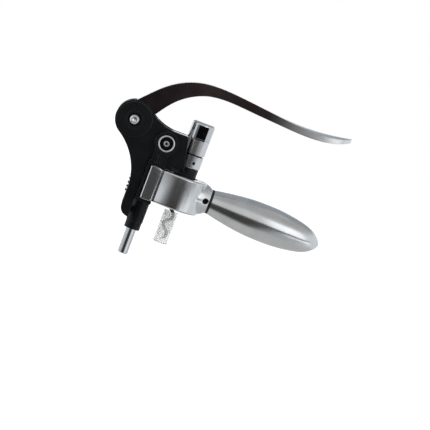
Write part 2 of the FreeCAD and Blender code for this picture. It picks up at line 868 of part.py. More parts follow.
ring_floor = size.collar_seat + size.spigot_height
head_seat = ring_floor + size.head_lift
core_length = size.coil_turns * size.coil_pitch
core_radius = size.worm_mean_radius - size.worm_wire_radius + size.core_squeeze


def worm_head():
    dimple = size.ball_radius + size.running_fit
    centre = size.head_height - size.dimple_depth + dimple
    rim = math.sqrt(dimple**2 - (centre - size.head_height) ** 2)
    side = 0.8 * dimple
    head = turned(
        "worm_head",
        (0, -core_length),
        [(core_radius, -core_length)],
        [(core_radius, 0)],
        [(size.head_radius, 0)],
        [(size.head_radius, size.head_height - size.head_bevel)],
        [(size.head_radius - size.head_bevel, size.head_height)],
        [(rim, size.head_height)],
        [(side, centre - math.sqrt(dimple**2 - side**2)), (0, centre - dimple)],
        at=V(0, 0, head_seat),
    )
    for role in ("XZ_Plane", "YZ_Plane"):
        notch = add_sketch(head, role)
        for side in (-1, 1):
            low_x, high_x = sorted((side * size.head_notch_inner, side * (size.head_radius + 1)))
            rectangle(notch, low_x, high_x, size.head_height - size.head_notch_depth,
                      size.head_height + 1)
        cut_checked(head, notch, "dim.head_notch", midplane=True)
    return head


worm_head()

# Gear sector on the lever, and the rack it lifts

flank_angle = math.radians(size.pressure_angle)


def involute(angle):
    return math.tan(angle) - angle


def drive_gear():
    """The hub's gear: teeth as far round as the lever swings, with involute flanks drawn as
    arcs through three points. The tooth that meets the rack at rest points along +X."""
    base_radius = pitch_radius * math.cos(flank_angle)
    root_radius = pitch_radius - dedendum
    tip_radius = pitch_radius + addendum
    half_tooth = (tooth_pitch / 2 - size.gear_thinning) / 2 / pitch_radius

    def half_angle(radius):
        return half_tooth + involute(flank_angle) - involute(math.acos(base_radius / radius))

    def at(radius, angle):
        return radius * math.cos(angle), radius * math.sin(angle)

    step = FULL / size.gear_teeth
    first = size.gear_spare_teeth * step
    body = new_body("drive_gear")
    blank = add_sketch(body, "XZ_Plane")
    steps = []
    low = half_angle(base_radius)
    mid = half_angle(pitch_radius)
    tip = half_angle(tip_radius)
    for tooth in range(int(size.gear_cut_teeth)):
        centre = first - tooth * step
        steps += [
            [at(base_radius, centre + low)],
            [at(pitch_radius, centre + mid), at(tip_radius, centre + tip)],
            [at(tip_radius, centre - tip)],
            [at(pitch_radius, centre - mid), at(base_radius, centre - low)],
            [at(root_radius, centre - low)],
        ]
        if tooth < size.gear_cut_teeth - 1:
            steps.append([at(root_radius, centre - step + low)])
    last = first - (size.gear_cut_teeth - 1) * step
    bare = (last - low + first + low - FULL) / 2
    steps.append([at(root_radius, bare), at(root_radius, first + low)])
    outline(blank, at(root_radius, first + low), *steps)
    extrude(body, "Pad", blank, "dim.gear_width", midplane=True)
    holes = add_sketch(body, "XZ_Plane")
    circle(holes, 0, 0, size.axle_radius + size.running_fit)
    for angle in dowel_angles:
        circle(holes, *at(size.dowel_circle, angle), size.dowel_radius)
    cut_checked(body, holes, "dim.gear_width + 2", midplane=True)
    body.Placement.Base = hub
    return body


dowel_angles = (math.radians(150), math.radians(330))
drive_gear()


def dowel(side, sign):
    angle = dowel_angles[0 if sign < 0 else 1]
    at = hub + V(math.cos(angle), 0, math.sin(angle)) * size.dowel_circle
    at.y = -size.lever_root_width / 2 + size.dowel_setback
    piece = rod_tool("dowel_" + side, "dim.dowel_radius",
                     "dim.lever_root_width - 2 * dim.dowel_setback", at, "far")
    return keep(piece, "dowel_" + side)


near_and_far("gear_dowels", dowel)


def rack():
    """A straight rack with its teeth towards the gear and a tongue in front for the carriage.
    A space between two teeth is level with the hub at rest."""
    body = new_body("rack")
    blank = add_sketch(body, "XZ_Plane")
    tip = pitch_line - addendum
    root = pitch_line + dedendum
    half = (tooth_pitch / 2 - size.rack_thinning) / 2
    at_tip = half - addendum * math.tan(flank_angle)
    at_root = half + dedendum * math.tan(flank_angle)
    low = hub.z - size.rack_teeth_below * tooth_pitch
    high = hub.z + size.rack_teeth_above * tooth_pitch
    steps = [[(root, low)]]
    for tooth in range(int(size.rack_teeth_below + size.rack_teeth_above)):
        centre = low + (tooth + 0.5) * tooth_pitch
        steps += [
            [(root, centre - at_root)],
            [(tip, centre - at_tip)],
            [(tip, centre + at_tip)],
            [(root, centre + at_root)],
        ]
    steps += [[(root, high)], [(rack_front, high)]]
    outline(blank, (rack_front, low), *steps)
    extrude(body, "Pad", blank, "dim.rack_width", midplane=True)
    tongue = add_sketch(body, "XZ_Plane")
    front = rack_front + size.tongue_reach
    rectangle(tongue, rack_front - 1, front, size.tongue_low, size.tongue_high)
    extrude(body, "Pad", tongue, "dim.tongue_width", midplane=True)
    holes = add_sketch(body, "XZ_Plane")
    for height in rack_pin_heights:
        circle(holes, rack_pin_x, height, size.rack_pin_radius)
    cut_checked(body, holes, "dim.rack_width", midplane=True)
    return body


rack_pin_x = rack_front + size.tongue_reach / 2
tongue_middle = (size.tongue_low + size.tongue_high) / 2
rack_pin_heights = (tongue_middle - size.rack_pin_spread, tongue_middle + size.rack_pin_spread)
rack()


def rack_pin(side, sign):
    height = rack_pin_heights[0 if sign < 0 else 1]
    at = V(rack_pin_x, -size.arm_width / 2 + size.arm_recess, height)
    piece = rod_tool("rack_pin_" + side, "dim.rack_pin_radius",
                     "dim.arm_width - 2 * dim.arm_recess", at, "far")
    return keep(piece, "rack_pin_" + side)


near_and_far("rack_pins", rack_pin)

# Lever arm

LEVER_LINE = (
    # Along and above from the hub, and the arm's thickness there, in parts of its reach
    (0.013, 0.0475, 0.1061),
    (0.058, 0.1017, 0.0958),
    (0.124, 0.1723, 0.0817),
    (0.204, 0.2229, 0.0682),
    (0.294, 0.2487, 0.0522),
)
LEVER_SECTIONS = (
    # Along and above from the hub, thickness there, and how far the sides droop
    (0.204, 0.2229, 0.0722, 0.001),
    (0.294, 0.2487, 0.0532, 0.001),
    (0.382, 0.2524, 0.0447, 0.001),
    (0.483, 0.2458, 0.0417, 0.002),
    (0.615, 0.2356, 0.0369, 0.005),
    (0.734, 0.2298, 0.0325, 0.009),
    (0.843, 0.2342, 0.0294, 0.012),
    (0.938, 0.2489, 0.0232, 0.013),
    (1.002, 0.2634, 0.0176, 0.013),
)
LEVER_PLAN = (
    # Along from the hub and half the width there, from the root to the rounded tip
    (0.155, 0.0563),
    (0.215, 0.0530),
    (0.286, 0.0486),
    (0.381, 0.0459),
    (0.501, 0.0477),
    (0.620, 0.0524),
    (0.739, 0.0626),
    (0.834, 0.0703),
    (0.894, 0.0715),
    (0.942, 0.0656),
    (0.974, 0.0512),
    (0.995, 0.0274),
    (1.000, 0.0),
)


def lever_arm():
    """The forged arm: a thick curved root, then sections that thin out into a paddle whose
    sides droop, trimmed to the plan. The round root is slotted for the gear, so that a cheek
    runs down each side of it."""
    body = new_body("lever_arm")
    reach = size.lever_reach
    profile = add_sketch(body, "XZ_Plane")
    upper = []
    lower = []
    for i, (along, above, thickness) in enumerate(LEVER_LINE):
        before = LEVER_LINE[max(i - 1, 0)]
        after = LEVER_LINE[min(i + 1, len(LEVER_LINE) - 1)]
        run = V(after[0] - before[0], after[1] - before[1], 0).normalize()
        side = V(-run.y, run.x, 0) * (thickness / 2)
        upper.append((hub.x + reach * (along + side.x), hub.z + reach * (above + side.y)))
        lower.append((hub.x + reach * (along - side.x), hub.z + reach * (above - side.y)))
    lower.reverse()
    outline(profile, upper[0], upper[1:], [lower[0]], lower[1:])
    extrude(body, "Pad", profile, "dim.lever_root_width", midplane=True)
    wide = 1.08 * reach * max(half for along, half in LEVER_PLAN)
    sections = []
    for along, above, thickness, droop in LEVER_SECTIONS:
        section = add_sketch(body, "YZ_Plane", "-dim.hub_behind + %.4f * dim.lever_reach" % along)
        middle = hub.z + reach * above
        top = middle + reach * thickness / 2
        low = middle - reach * thickness / 2
        fall = reach * droop
        outline(
            section, (-wide, low - fall), [(0, low), (wide, low - fall)],
            [(wide, top - fall)], [(0, top), (-wide, top - fall)],
        )
        sections.append(section)
    loft = body.newObject("PartDesign::AdditiveLoft", "lever_paddle")
    loft.Profile = sections[0]
    loft.Sections = sections[1:]
    loft.Ruled = False
    doc.recompute()
    root = add_sketch(body, "XZ_Plane")
    circle(root, hub.x, hub.z, size.lever_boss_radius)
    extrude(body, "Pad", root, "dim.lever_root_width", midplane=True)
    plan = add_sketch(body, "XY_Plane", "dim.hub_above + 0.5 * dim.lever_reach")
    near_edge = [(hub.x + reach * along, -reach * half) for along, half in LEVER_PLAN]
    far_edge = [(x, -y) for x, y in reversed(near_edge[:-1])]
    start = near_edge[0][0]
    beyond = hub.x + 1.05 * reach
    out = 2 * wide
    outline(
        plan, near_edge[0], near_edge[1:] + far_edge, [(start, out)], [(beyond, out)],
        [(beyond, -out)], [(start, -out)],
    )
    cut_checked(body, plan, "0.5 * dim.lever_reach")
    slot = add_sketch(body, "XZ_Plane")
    circle(slot, hub.x, hub.z, pitch_radius + addendum + size.slot_room)
    cut_checked(body, slot, "dim.gear_width + 2 * dim.cheek_gap", midplane=True)
    holes = add_sketch(body, "XZ_Plane")
    circle(holes, hub.x, hub.z, size.axle_radius + size.running_fit)
    for angle in dowel_angles:
        circle(holes, hub.x + size.dowel_circle * math.cos(angle),
               hub.z + size.dowel_circle * math.sin(angle), size.dowel_radius)
    cut_checked(body, holes, "dim.lever_root_width", midplane=True)
    return body


lever_arm()

# Carriage: an arm from the rack to a ring round the worm's axis, with the guide rod below it


def carriage():
    body = new_body("carriage")
    arm = add_sketch(body, "XY_Plane", "dim.collar_seat")
    half = size.arm_width / 2
    rectangle(arm, rack_front, -size.spigot_radius, -half, half)
    extrude(body, "Pad", arm, "dim.arm_top - dim.collar_seat")
    ring = add_sketch(body, "XY_Plane", "dim.collar_seat")
    circle(ring, 0, 0, size.column_radius)
    extrude(body, "Pad", ring, "dim.ring_top - dim.collar_seat")
    bore = add_sketch(body, "XY_Plane", "dim.ring_top")
    circle(bore, 0, 0, size.spigot_radius)
    cut_checked(body, bore, "dim.ring_top - dim.collar_seat")
    slot = add_sketch(body, "XY_Plane", "dim.arm_top")
    rectangle(slot, rack_front - 1, rack_front + size.tongue_reach,
              -size.tongue_width / 2, size.tongue_width / 2)
    cut_checked(body, slot, "dim.arm_top - dim.collar_seat")
    for sign, reverse in (("", False), ("-", True)):
        recess = add_sketch(body, "XZ_Plane", sign + "dim.arm_width / 2")
        rectangle(recess, rack_front + size.arm_rear_rim, -size.column_radius - size.arm_rim,
                  size.collar_seat + size.arm_rim, size.arm_top - size.arm_rim)
        cut_checked(body, recess, "dim.arm_recess", reverse)
    rod_hole = add_sketch(body, "XY_Plane", "dim.collar_seat")
    circle(rod_hole, -size.tube_behind, 0, size.rod_radius)
    cut_checked(body, rod_hole, "dim.rod_seat - dim.collar_seat", reverse=True)
    screw_hole = add_sketch(body, "XY_Plane", "dim.arm_top")
    circle(screw_hole, -size.tube_behind, 0, size.rod_screw_radius)
    cut_checked(body, screw_hole, "dim.arm_top - dim.rod_seat + 1")
    head_hole = add_sketch(body, "XY_Plane", "dim.arm_top")
    circle(head_hole, -size.tube_behind, 0, size.rod_head_radius + size.rod_head_room)
    cut_checked(body, head_hole, "dim.rod_head_height")
    pins = add_sketch(body, "XZ_Plane")
    for height in rack_pin_heights:
        circle(pins, rack_pin_x, height, size.rack_pin_radius)
    cut_checked(body, pins, "dim.arm_width", midplane=True)
    return body


carriage()

turned(
    "guide_rod",
    (0, -size.rod_below),
    [(size.rod_radius - size.rod_edge, -size.rod_below)],
    [(size.rod_radius, -size.rod_below + size.rod_edge)],
    [(size.rod_radius, size.rod_seat)],
    [(size.rod_screw_radius, size.rod_seat)],
    [(size.rod_screw_radius, size.rod_seat - size.rod_thread_depth)],
    [(0, size.rod_seat - size.rod_thread_depth)],
    at=V(-size.tube_behind, 0, 0),
)
rod_screw_seat = size.arm_top - size.rod_head_height
socket_screw(
    "rod_screw", size.rod_head_radius, size.rod_head_height - size.rod_head_room,
    size.rod_screw_radius,
    rod_screw_seat - size.rod_seat + size.rod_thread_depth - size.thread_slack,
    V(-size.tube_behind, 0, rod_screw_seat), "up",
)


def radial_hole(tool_label, radius, start, length):
    """A cylinder that runs outwards from the axis at the height and turn of the grub screw."""
    turn_angle = math.radians(-90 + size.collar_hole_turn)
    outwards = V(math.cos(turn_angle), math.sin(turn_angle), 0)
    tool = doc.addObject("Part::Cylinder", tool_label)
    tool.setExpression("Radius", radius)
    tool.Height = length
    at = outwards * start + V(0, 0, size.collar_hole_above)
    tool.Placement = FreeCAD.Placement(at, FreeCAD.Rotation(V(0, 0, 1), outwards))
    return tool


collar_bore = worm_outer + size.worm_bore_gap
collar_shoulder = size.collar_seat - size.groove_height
collar_blank = turned(
    "collar_blank",
    (collar_bore, size.collar_bottom),
    [(size.column_radius - size.collar_edge, size.collar_bottom)],
    [(size.column_radius, size.collar_bottom + size.collar_edge)],
    [(size.column_radius, collar_shoulder)],
    [(size.groove_radius, collar_shoulder)],
    [(size.groove_radius, size.collar_seat)],
    [(size.spigot_radius, size.collar_seat)],
    [(size.spigot_radius, size.collar_seat + size.spigot_height)],
    [(collar_bore, size.collar_seat + size.spigot_height)],
)
sub_parts.remove(collar_blank)
hole = radial_hole("collar_hole", "dim.collar_hole_radius", collar_bore - 1,
                   size.column_radius - collar_bore + 2)
keep(boolean("Cut", "lower_collar", collar_blank, [hole]), "lower_collar")
grub_start = collar_bore + size.grub_gap
grub_length = size.column_radius - grub_start - size.grub_recess
grub = radial_hole("grub_blank", "dim.collar_hole_radius", grub_start, grub_length)
grub_socket = radial_hole("grub_socket", "dim.collar_hole_radius / 2",
                          grub_start + grub_length - size.thread_slack, 2 * size.thread_slack)
keep(boolean("Cut", "collar_grub_screw", grub, [grub_socket]), "collar_grub_screw")

turned(
    "head_bush",
    (size.head_radius + size.running_fit, ring_floor),
    [(size.spigot_radius, ring_floor)],
    [(size.spigot_radius, size.ring_top - size.cap_spigot)],
    [(size.head_radius + size.running_fit, size.ring_top - size.cap_spigot)],
)
ball_height = head_seat + size.head_height - size.dimple_depth + size.ball_radius
ball_height += size.running_fit
ball = doc.addObject("Part::Sphere", "thrust_ball")
ball.setExpression("Radius", "dim.ball_radius")
ball.Placement.Base = V(0, 0, ball_height)
keep(ball, "thrust_ball")


def chrome_cap():
    """A solid round cap with a lip at its foot, a rounded top edge and a short spigot below
    with the seat of the ball that the worm's head bears on."""
    r = size.column_radius
    wall = r - size.cap_step
    low = size.ring_top
    spigot = low - size.cap_spigot
    top = low + size.cap_height
    edge = size.cap_edge
    slant = edge * (1 - math.sqrt(0.5))
    seat = math.sqrt(size.ball_radius**2 - (ball_height - spigot) ** 2)
    side = 0.8 * size.ball_radius
    rise = math.sqrt(size.ball_radius**2 - side**2)
    return turned(
        "chrome_cap",
        (0, top),
        [(0, ball_height + size.ball_radius)],
        [(side, ball_height + rise), (seat, spigot)],
        [(size.spigot_radius, spigot)],
        [(size.spigot_radius, low)],
        [(r, low)],
        [(r, low + size.cap_lip)],
        [(wall, low + size.cap_lip + size.cap_step)],
        [(wall, top - edge)],
        [(wall - slant, top - slant), (wall - edge, top)],
    )


chrome_cap()

sleeve_bottom = -size.sleeve_top - size.sleeve_length
inner_wall = size.sleeve_radius - size.sleeve_wall
turned(
    "worm_sleeve",
    (0, sleeve_bottom),
    [(size.sleeve_radius - size.sleeve_edge, sleeve_bottom)],
    [(size.sleeve_radius, sleeve_bottom + size.sleeve_edge)],
    [(size.sleeve_radius, -size.sleeve_top)],
    [(inner_wall, -size.sleeve_top)],
    [(inner_wall, sleeve_bottom + size.sleeve_wall)],
    [(0, sleeve_bottom + size.sleeve_wall)],
)

# Clamp jaws, their pads, washers and grips


def jaw(side, sign):
    """Half of the clamp: a knuckle on its hinge pin, half a ring with a flange over the
    bottle's top, and half a neck that narrows forward to the grip."""
    body = new_body("jaw_" + side)
    gap = size.jaw_parting
    rear = -size.box_front + size.shelf_gap
    knuckle = -size.knuckle_rear
    corner = size.knuckle_corner
    out = size.knuckle_out
    tangent_x = -size.jaw_flank_behind
    tangent_y = math.sqrt(size.jaw_radius**2 - tangent_x**2)
    shoulder = -size.knuckle_front
    shoulder_out = tangent_y + (shoulder - tangent_x) * -tangent_x / tangent_y

    def at(x, y):
        return x, sign * y

    plan = add_sketch(body, "XY_Plane", "-dim.jaw_height")
    cut = corner * (1 - math.sqrt(0.5))
    outline(
        plan, at(rear, gap),
        [at(rear, size.knuckle_in)],
        [at(knuckle, size.knuckle_in)],
        [at(knuckle, out - corner)],
        [at(knuckle + cut, out - cut), at(knuckle + corner, out)],
        [at(shoulder, out)],
        [at(shoulder, shoulder_out)],
        [at(tangent_x, tangent_y)],
        [at(size.jaw_radius * math.cos(math.radians(50)),
            size.jaw_radius * math.sin(math.radians(50))),
         at(math.sqrt(size.jaw_radius**2 - gap**2), gap)],
    )
    extrude(body, "Pad", plan, "dim.jaw_height")

    def on_ring_rim(edge):
        box = edge.BoundBox
        level = box.ZMax - box.ZMin < 1e-4
        on_side = min(abs(box.YMin), abs(box.YMax)) > shoulder_out - 0.01
        round_the_front = edge.Curve.TypeId == "Part::GeomCircle" and box.XMax > 0
        return level and box.XMin > shoulder - 0.01 and (on_side or round_the_front)

    def on_knuckle_face(edge):
        box = edge.BoundBox
        return abs(abs(box.Center.y) - out) < 1e-4 and box.YMax - box.YMin < 1e-4

    dress(body, "Fillet", "dim.jaw_edge", on_ring_rim)
    dress(body, "Chamfer", "dim.knuckle_bevel", on_knuckle_face)
    sections = []
    for x, half_width, half_height, middle in NECK_SECTIONS:
        section = add_sketch(body, "YZ_Plane", str(x))
        points = [(sign * gap, middle - half_height)]
        for i in range(1, 9):
            angle = math.pi * (i / 8 - 0.5)
            points.append((sign * (gap + (half_width - gap) * math.cos(angle)),
                           middle + half_height * math.sin(angle)))
        outline(section, points[0], points[1:], [points[0]])
        sections.append(section)
    loft = body.newObject("PartDesign::AdditiveLoft", body.Name + "_neck")
    loft.Profile = sections[0]
    loft.Sections = sections[1:]
    loft.Ruled = False
    doc.recompute()
    seat = add_sketch(body, "XY_Plane", "-dim.jaw_lip_height")
    circle(seat, 0, 0, size.jaw_seat_radius)
    cut_checked(body, seat, "dim.jaw_height")
    behind = add_sketch(body, "XY_Plane", "-dim.jaw_lip_height")
    rectangle(behind, rear - 2, -size.jaw_lip_radius,
              *sorted((-sign, sign * (size.knuckle_in - 0.1))))
    cut_checked(body, behind, "dim.jaw_height")
    lip = add_sketch(body, "XY_Plane")
    circle(lip, 0, 0, size.jaw_lip_radius)
    cut_checked(body, lip, "dim.jaw_height")
    pin_hole = add_sketch(body, "XY_Plane")
    circle(pin_hole, -size.hinge_behind, sign * size.hinge_out,
           size.hinge_pin_radius + size.running_fit)
    cut_checked(body, pin_hole, "dim.jaw_height")
    tang = add_sketch(body, "YZ_Plane", "dim.neck_reach")
    circle(tang, sign * size.tang_out, neck_axis, size.tang_radius)
    cut_checked(body, tang, "dim.tang_length")
    reverse = sign > 0
    prefix = "-" if sign > 0 else ""
    recess = add_sketch(body, "XZ_Plane", prefix + "(dim.jaw_radius)")
    circle(recess, grip_screw_at, neck_axis, size.grip_head_radius + size.grip_head_room)
    cut_checked(body, recess, "dim.jaw_radius - dim.grip_head_seat", reverse)
    screw = add_sketch(body, "XZ_Plane", prefix + "(dim.jaw_radius)")
    circle(screw, grip_screw_at, neck_axis, size.grip_screw_radius)
    cut_checked(body, screw, "dim.jaw_radius - dim.tang_out", reverse)
    return body


neck_bend = size.jaw_height / 2 - size.neck_bend_drop
NECK_SECTIONS = (
    # Forward of the worm's axis: half width, half height and the middle's height
    (size.jaw_radius - size.neck_root_back, size.neck_root_out,
     size.jaw_height / 2 - size.neck_root_drop, -size.jaw_height / 2),
    (size.jaw_radius - size.neck_bend_back, size.neck_bend_out, neck_bend, -neck_bend),
    (size.neck_reach, size.neck_radius, size.neck_radius, neck_axis),
)
jaw("near", -1)
jaw("far", 1)


def jaw_pad(side, sign):
    body = new_body("jaw_pad_" + side)
    arc = add_sketch(body, "XY_Plane", "-dim.jaw_lip_height - dim.running_fit")
    outer = size.jaw_seat_radius
    inner = outer - size.jaw_pad_thickness
    start = math.radians(size.jaw_pad_start_turn)
    end = math.radians(size.jaw_pad_end_turn)
    middle = (start + end) / 2

    def at(radius, angle):
        return radius * math.cos(angle), sign * radius * math.sin(angle)

    outline(arc, at(inner, start), [at(outer, start)], [at(outer, middle), at(outer, end)],
            [at(inner, end)], [at(inner, middle), at(inner, start)])
    extrude(body, "Pad", arc, "dim.jaw_pad_height", reverse=True)
    return body


def neck_washer(side, sign):
    body = new_body("neck_washer_" + side)
    face = add_sketch(body, "YZ_Plane", "dim.neck_reach")
    gap = size.grip_parting
    half = math.sqrt(size.washer_radius**2 - gap**2)
    outline(face, (sign * gap, neck_axis - half),
            [(sign * size.washer_radius, neck_axis), (sign * gap, neck_axis + half)])
    extrude(body, "Pad", face, "dim.washer_thickness")
    hole = add_sketch(body, "YZ_Plane", "dim.neck_reach + dim.washer_thickness")
    circle(hole, sign * size.tang_out, neck_axis, size.tang_radius)
    cut_checked(body, hole, "dim.washer_thickness")
    return body


GRIP_LINE = (
    # Forward of the washer in parts of the grip's length, and its radius there in parts of
    # the belly's
    (0.1401, 0.820),
    (0.2471, 0.915),
    (0.3754, 0.987),
    (0.4824, 1.003),
    (0.6107, 0.981),
    (0.7176, 0.910),
    (0.8246, 0.787),
    (0.8888, 0.663),
    (0.9316, 0.523),
    (0.9636, 0.367),
    (0.9872, 0.190),
)


def drooping_sketch(body):
    """A sketch on the grip's own middle plane, which falls away forward from the washer."""
    sketch = add_sketch(body, "XY_Plane", "-dim.neck_below")
    sketch.AttachmentOffset = FreeCAD.Placement(V(), FreeCAD.Rotation(V(0, 1, 0), size.grip_droop))
    sketch.setExpression("AttachmentOffset.Base.x", "dim.neck_reach + dim.washer_thickness")
    sketch.setExpression("AttachmentOffset.Base.z", "-dim.neck_below")
    return sketch


def grip(side, sign):
    """Half of a long round grip, turned about its own drooping axis and cut off square at the
    washer, with a round tang at its rear."""
    body = new_body("grip_" + side)
    length = size.grip_reach - size.neck_reach - size.washer_thickness
    behind = -0.01 * length
    middle = sign * size.grip_parting
    profile = drooping_sketch(body)
    belly = [(along * length, middle + sign * part * size.grip_belly_radius)
             for along, part in GRIP_LINE]
    start = (behind, middle + sign * size.grip_neck_radius)
    outline(profile, start, belly + [(length, middle)], [(behind, middle)])
    feature = body.newObject("PartDesign::Revolution", body.Name + "_turned")
    axis = drooping_sketch(body)
    add_edge(axis, Part.LineSegment(V(0, middle, 0), V(length, middle, 0)))
    feature.Profile = profile
    feature.ReferenceAxis = (axis, ["Edge1"])
    feature.Angle = 180
    feature.Midplane = True
    doc.recompute()
    rear = add_sketch(body, "YZ_Plane", "dim.neck_reach + dim.washer_thickness")
    circle(rear, 0, neck_axis, size.grip_belly_radius)
    cut_checked(body, rear, "dim.washer_thickness + 1")
    tang = add_sketch(body, "YZ_Plane", "dim.neck_reach - dim.tang_length")
    circle(tang, sign * size.tang_out, neck_axis, size.tang_radius)
    extrude(body, "Pad", tang, "dim.tang_length + dim.washer_thickness + 2")
    hole = add_sketch(body, "XZ_Plane", ("-" if sign > 0 else "") + "dim.jaw_radius")
    circle(hole, grip_screw_at, neck_axis, size.grip_screw_radius)
    cut_checked(body, hole, "dim.jaw_radius - dim.tang_out + 1", reverse=sign > 0)
    return body


for side, sign in (("near", -1), ("far", 1)):
    jaw_pad(side, sign)
    neck_washer(side, sign)
    grip(side, sign)
    socket_screw(
        "grip_screw_" + side, size.grip_head_radius, size.grip_head_height,
        size.grip_screw_radius, size.grip_head_seat - size.tang_out + 1,
        V(grip_screw_at, sign * size.grip_head_seat, neck_axis), side,
    )

# Check every object and write every sub-part

doc.recompute()
for piece in doc.Objects:
    if any(state in piece.State for state in ("Invalid", "Error")):
        raise RuntimeError("%s is not valid: %s" % (piece.Label, piece.State))
os.makedirs("parts", exist_ok=True)
for piece in sub_parts:
    if piece.Shape.isNull() or not piece.Shape.isValid():
        raise RuntimeError("%s has no valid shape" % piece.Label)
    piece.Shape.exportStep("parts/%s.step" % piece.Label)
    print("%-18s %2d solid %9.1f mm3" % (piece.Label, len(piece.Shape.Solids), piece.Shape.Volume))
print(len(sub_parts), "sub-parts written")
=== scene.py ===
# %% [markdown]
# # A lever corkscrew, dressed and lit
# The tool's metal frame, gear, rack, worm, jaws and grips arrive as finished solids, already in
# metres and in their places. This lesson gives each of them its finish, reshapes the flanks of
# the two jaws, and lights the tool as a small product on a white sweep.

# %% Load the frame
import math

import bmesh
import bpy
import numpy as np
from mathutils import Matrix, Vector


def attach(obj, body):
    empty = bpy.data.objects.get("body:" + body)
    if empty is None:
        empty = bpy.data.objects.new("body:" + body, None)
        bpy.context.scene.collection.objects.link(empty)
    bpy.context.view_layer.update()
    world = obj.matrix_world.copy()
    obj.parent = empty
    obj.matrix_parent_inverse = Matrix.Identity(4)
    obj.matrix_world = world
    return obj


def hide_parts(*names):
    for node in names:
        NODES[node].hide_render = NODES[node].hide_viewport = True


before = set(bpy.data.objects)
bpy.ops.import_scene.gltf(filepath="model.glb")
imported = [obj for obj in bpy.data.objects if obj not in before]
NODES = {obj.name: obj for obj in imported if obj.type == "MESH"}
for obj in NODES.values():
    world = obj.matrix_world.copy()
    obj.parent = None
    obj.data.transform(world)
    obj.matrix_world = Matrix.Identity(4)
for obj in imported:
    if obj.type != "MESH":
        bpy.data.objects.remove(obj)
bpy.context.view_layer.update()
MM = 0.001

# %% [markdown]
# ## The camera
# The tool leans in the picture: its upright axis is turned about 21 degrees clockwise. The
# camera stands about a metre away, a little to the left and five degrees up. It is aimed at the
# picture's own centre instead of being shifted, so that the same lens works from every side.

# %% Camera
CAMERA_TURN = math.radians(-3.184)
CAMERA_RISE = math.radians(5.0)
CAMERA_ROLL = math.radians(20.955)
CAMERA_DISTANCE = 1.0
AIM_RIGHT = 33.634 * MM
AIM_UP = -20.808 * MM
FOCAL_PIXELS = 1255.8
PICTURE_PIXELS = 430
SENSOR = 36.0
FAR_CLIP = 50


def unit(vector):
    """The same direction, one long."""
    return Vector(vector).normalized()


back = Vector((
    math.sin(CAMERA_TURN) * math.cos(CAMERA_RISE),
    -math.cos(CAMERA_TURN) * math.cos(CAMERA_RISE),
    math.sin(CAMERA_RISE),
))
side = Vector((math.cos(CAMERA_TURN), math.sin(CAMERA_TURN), 0))
place = back * CAMERA_DISTANCE
aim = side * AIM_RIGHT + back.cross(side) * AIM_UP
sight = unit(place - aim)
level = unit(Vector((0, 0, 1)).cross(sight))
rise = sight.cross(level)
across = level * math.cos(CAMERA_ROLL) + rise * math.sin(CAMERA_ROLL)
upright = sight.cross(across)
camera_data = bpy.data.cameras.new("product_camera")
camera_data.sensor_width = SENSOR
camera_data.lens = FOCAL_PIXELS * SENSOR / PICTURE_PIXELS
camera_data.clip_end = FAR_CLIP
camera = bpy.data.objects.new("product_camera", camera_data)
camera_axes = Matrix((across, upright, sight)).transposed().to_4x4()
camera.matrix_world = Matrix.Translation(place) @ camera_axes
bpy.context.scene.collection.objects.link(camera)
bpy.context.scene.camera = camera
print("camera", tuple(round(v, 3) for v in place), "lens", round(camera_data.lens, 1))

# %% [markdown]
# ## One helper for every material
# A finish is a small network of nodes. One function adds a node, sets its sockets and wires
# what feeds it, and one turns a colour written as sRGB hex into the linear numbers that the
# renderer works with: c/12.92 below 0.04045, else ((c + 0.055) / 1.055) to the power 2.4.

# %% Helpers for materials
NOISE_DETAIL = 3.0
BEVEL_SAMPLES = 6


def linear(hex_colour):
    """sRGB hex to linear RGBA."""
    parts = [int(hex_colour[i:i + 2], 16) / 255 for i in (1, 3, 5)]
    return [p / 12.92 if p <= 0.04045 else ((p + 0.055) / 1.055) ** 2.4 for p in parts] + [1.0]


def add(tree, kind, settings=(), **sockets):
    """Add one node. Settings are its own properties. A socket gets a number, a colour, or
    another node's output. Underscores in a socket's name stand for spaces."""
    node = tree.nodes.new("ShaderNode" + kind)
    for name, value in dict(settings).items():
        setattr(node, name, value)
    for name, value in sockets.items():
        socket = node.inputs[int(name[1:])] if name[0] == "i" and name[1:].isdigit() \
            else node.inputs[name.replace("_", " ")]
        if isinstance(value, bpy.types.NodeSocket):
            tree.links.new(value, socket)
        else:
            socket.default_value = value
    return node


def new_material(name):
    """A material with an empty network, and the network."""
    material = bpy.data.materials.new(name)
    material.use_nodes = True
    material.node_tree.nodes.clear()
    return material, material.node_tree


def ramp(tree, factor, *stops):
    """A colour ramp: stops are (position, hex colour)."""
    node = add(tree, "ValToRGB", i0=factor)
    elements = node.color_ramp.elements
    elements[0].position, elements[0].color = stops[0][0], linear(stops[0][1])
    elements[1].position, elements[1].color = stops[-1][0], linear(stops[-1][1])
    for position, colour in stops[1:-1]:
        elements.new(position).color = linear(colour)
    return node.outputs[0]


def between(tree, factor, low, high):
    """The line from low at factor 0 to high at factor 1."""
    return add(tree, "MapRange", i0=factor, i3=low, i4=high).outputs[0]


def grain(tree, millimetres, stretch=(1, 1, 1)):
    """Noise whose spots are about that many millimetres across, in the object's own frame."""
    place = add(tree, "TexCoord").outputs["Object"]
    scaled = add(tree, "Mapping", Vector=place, Scale=stretch).outputs[0]
    noise = add(tree, "TexNoise", Vector=scaled, Scale=1 / (millimetres * MM), Detail=NOISE_DETAIL)
    return noise.outputs[0]


def rounded(tree, millimetres):
    """The surface's normal as if its edges were rounded to that radius."""
    return add(tree, "Bevel", {"samples": BEVEL_SAMPLES}, Radius=millimetres * MM).outputs[0]


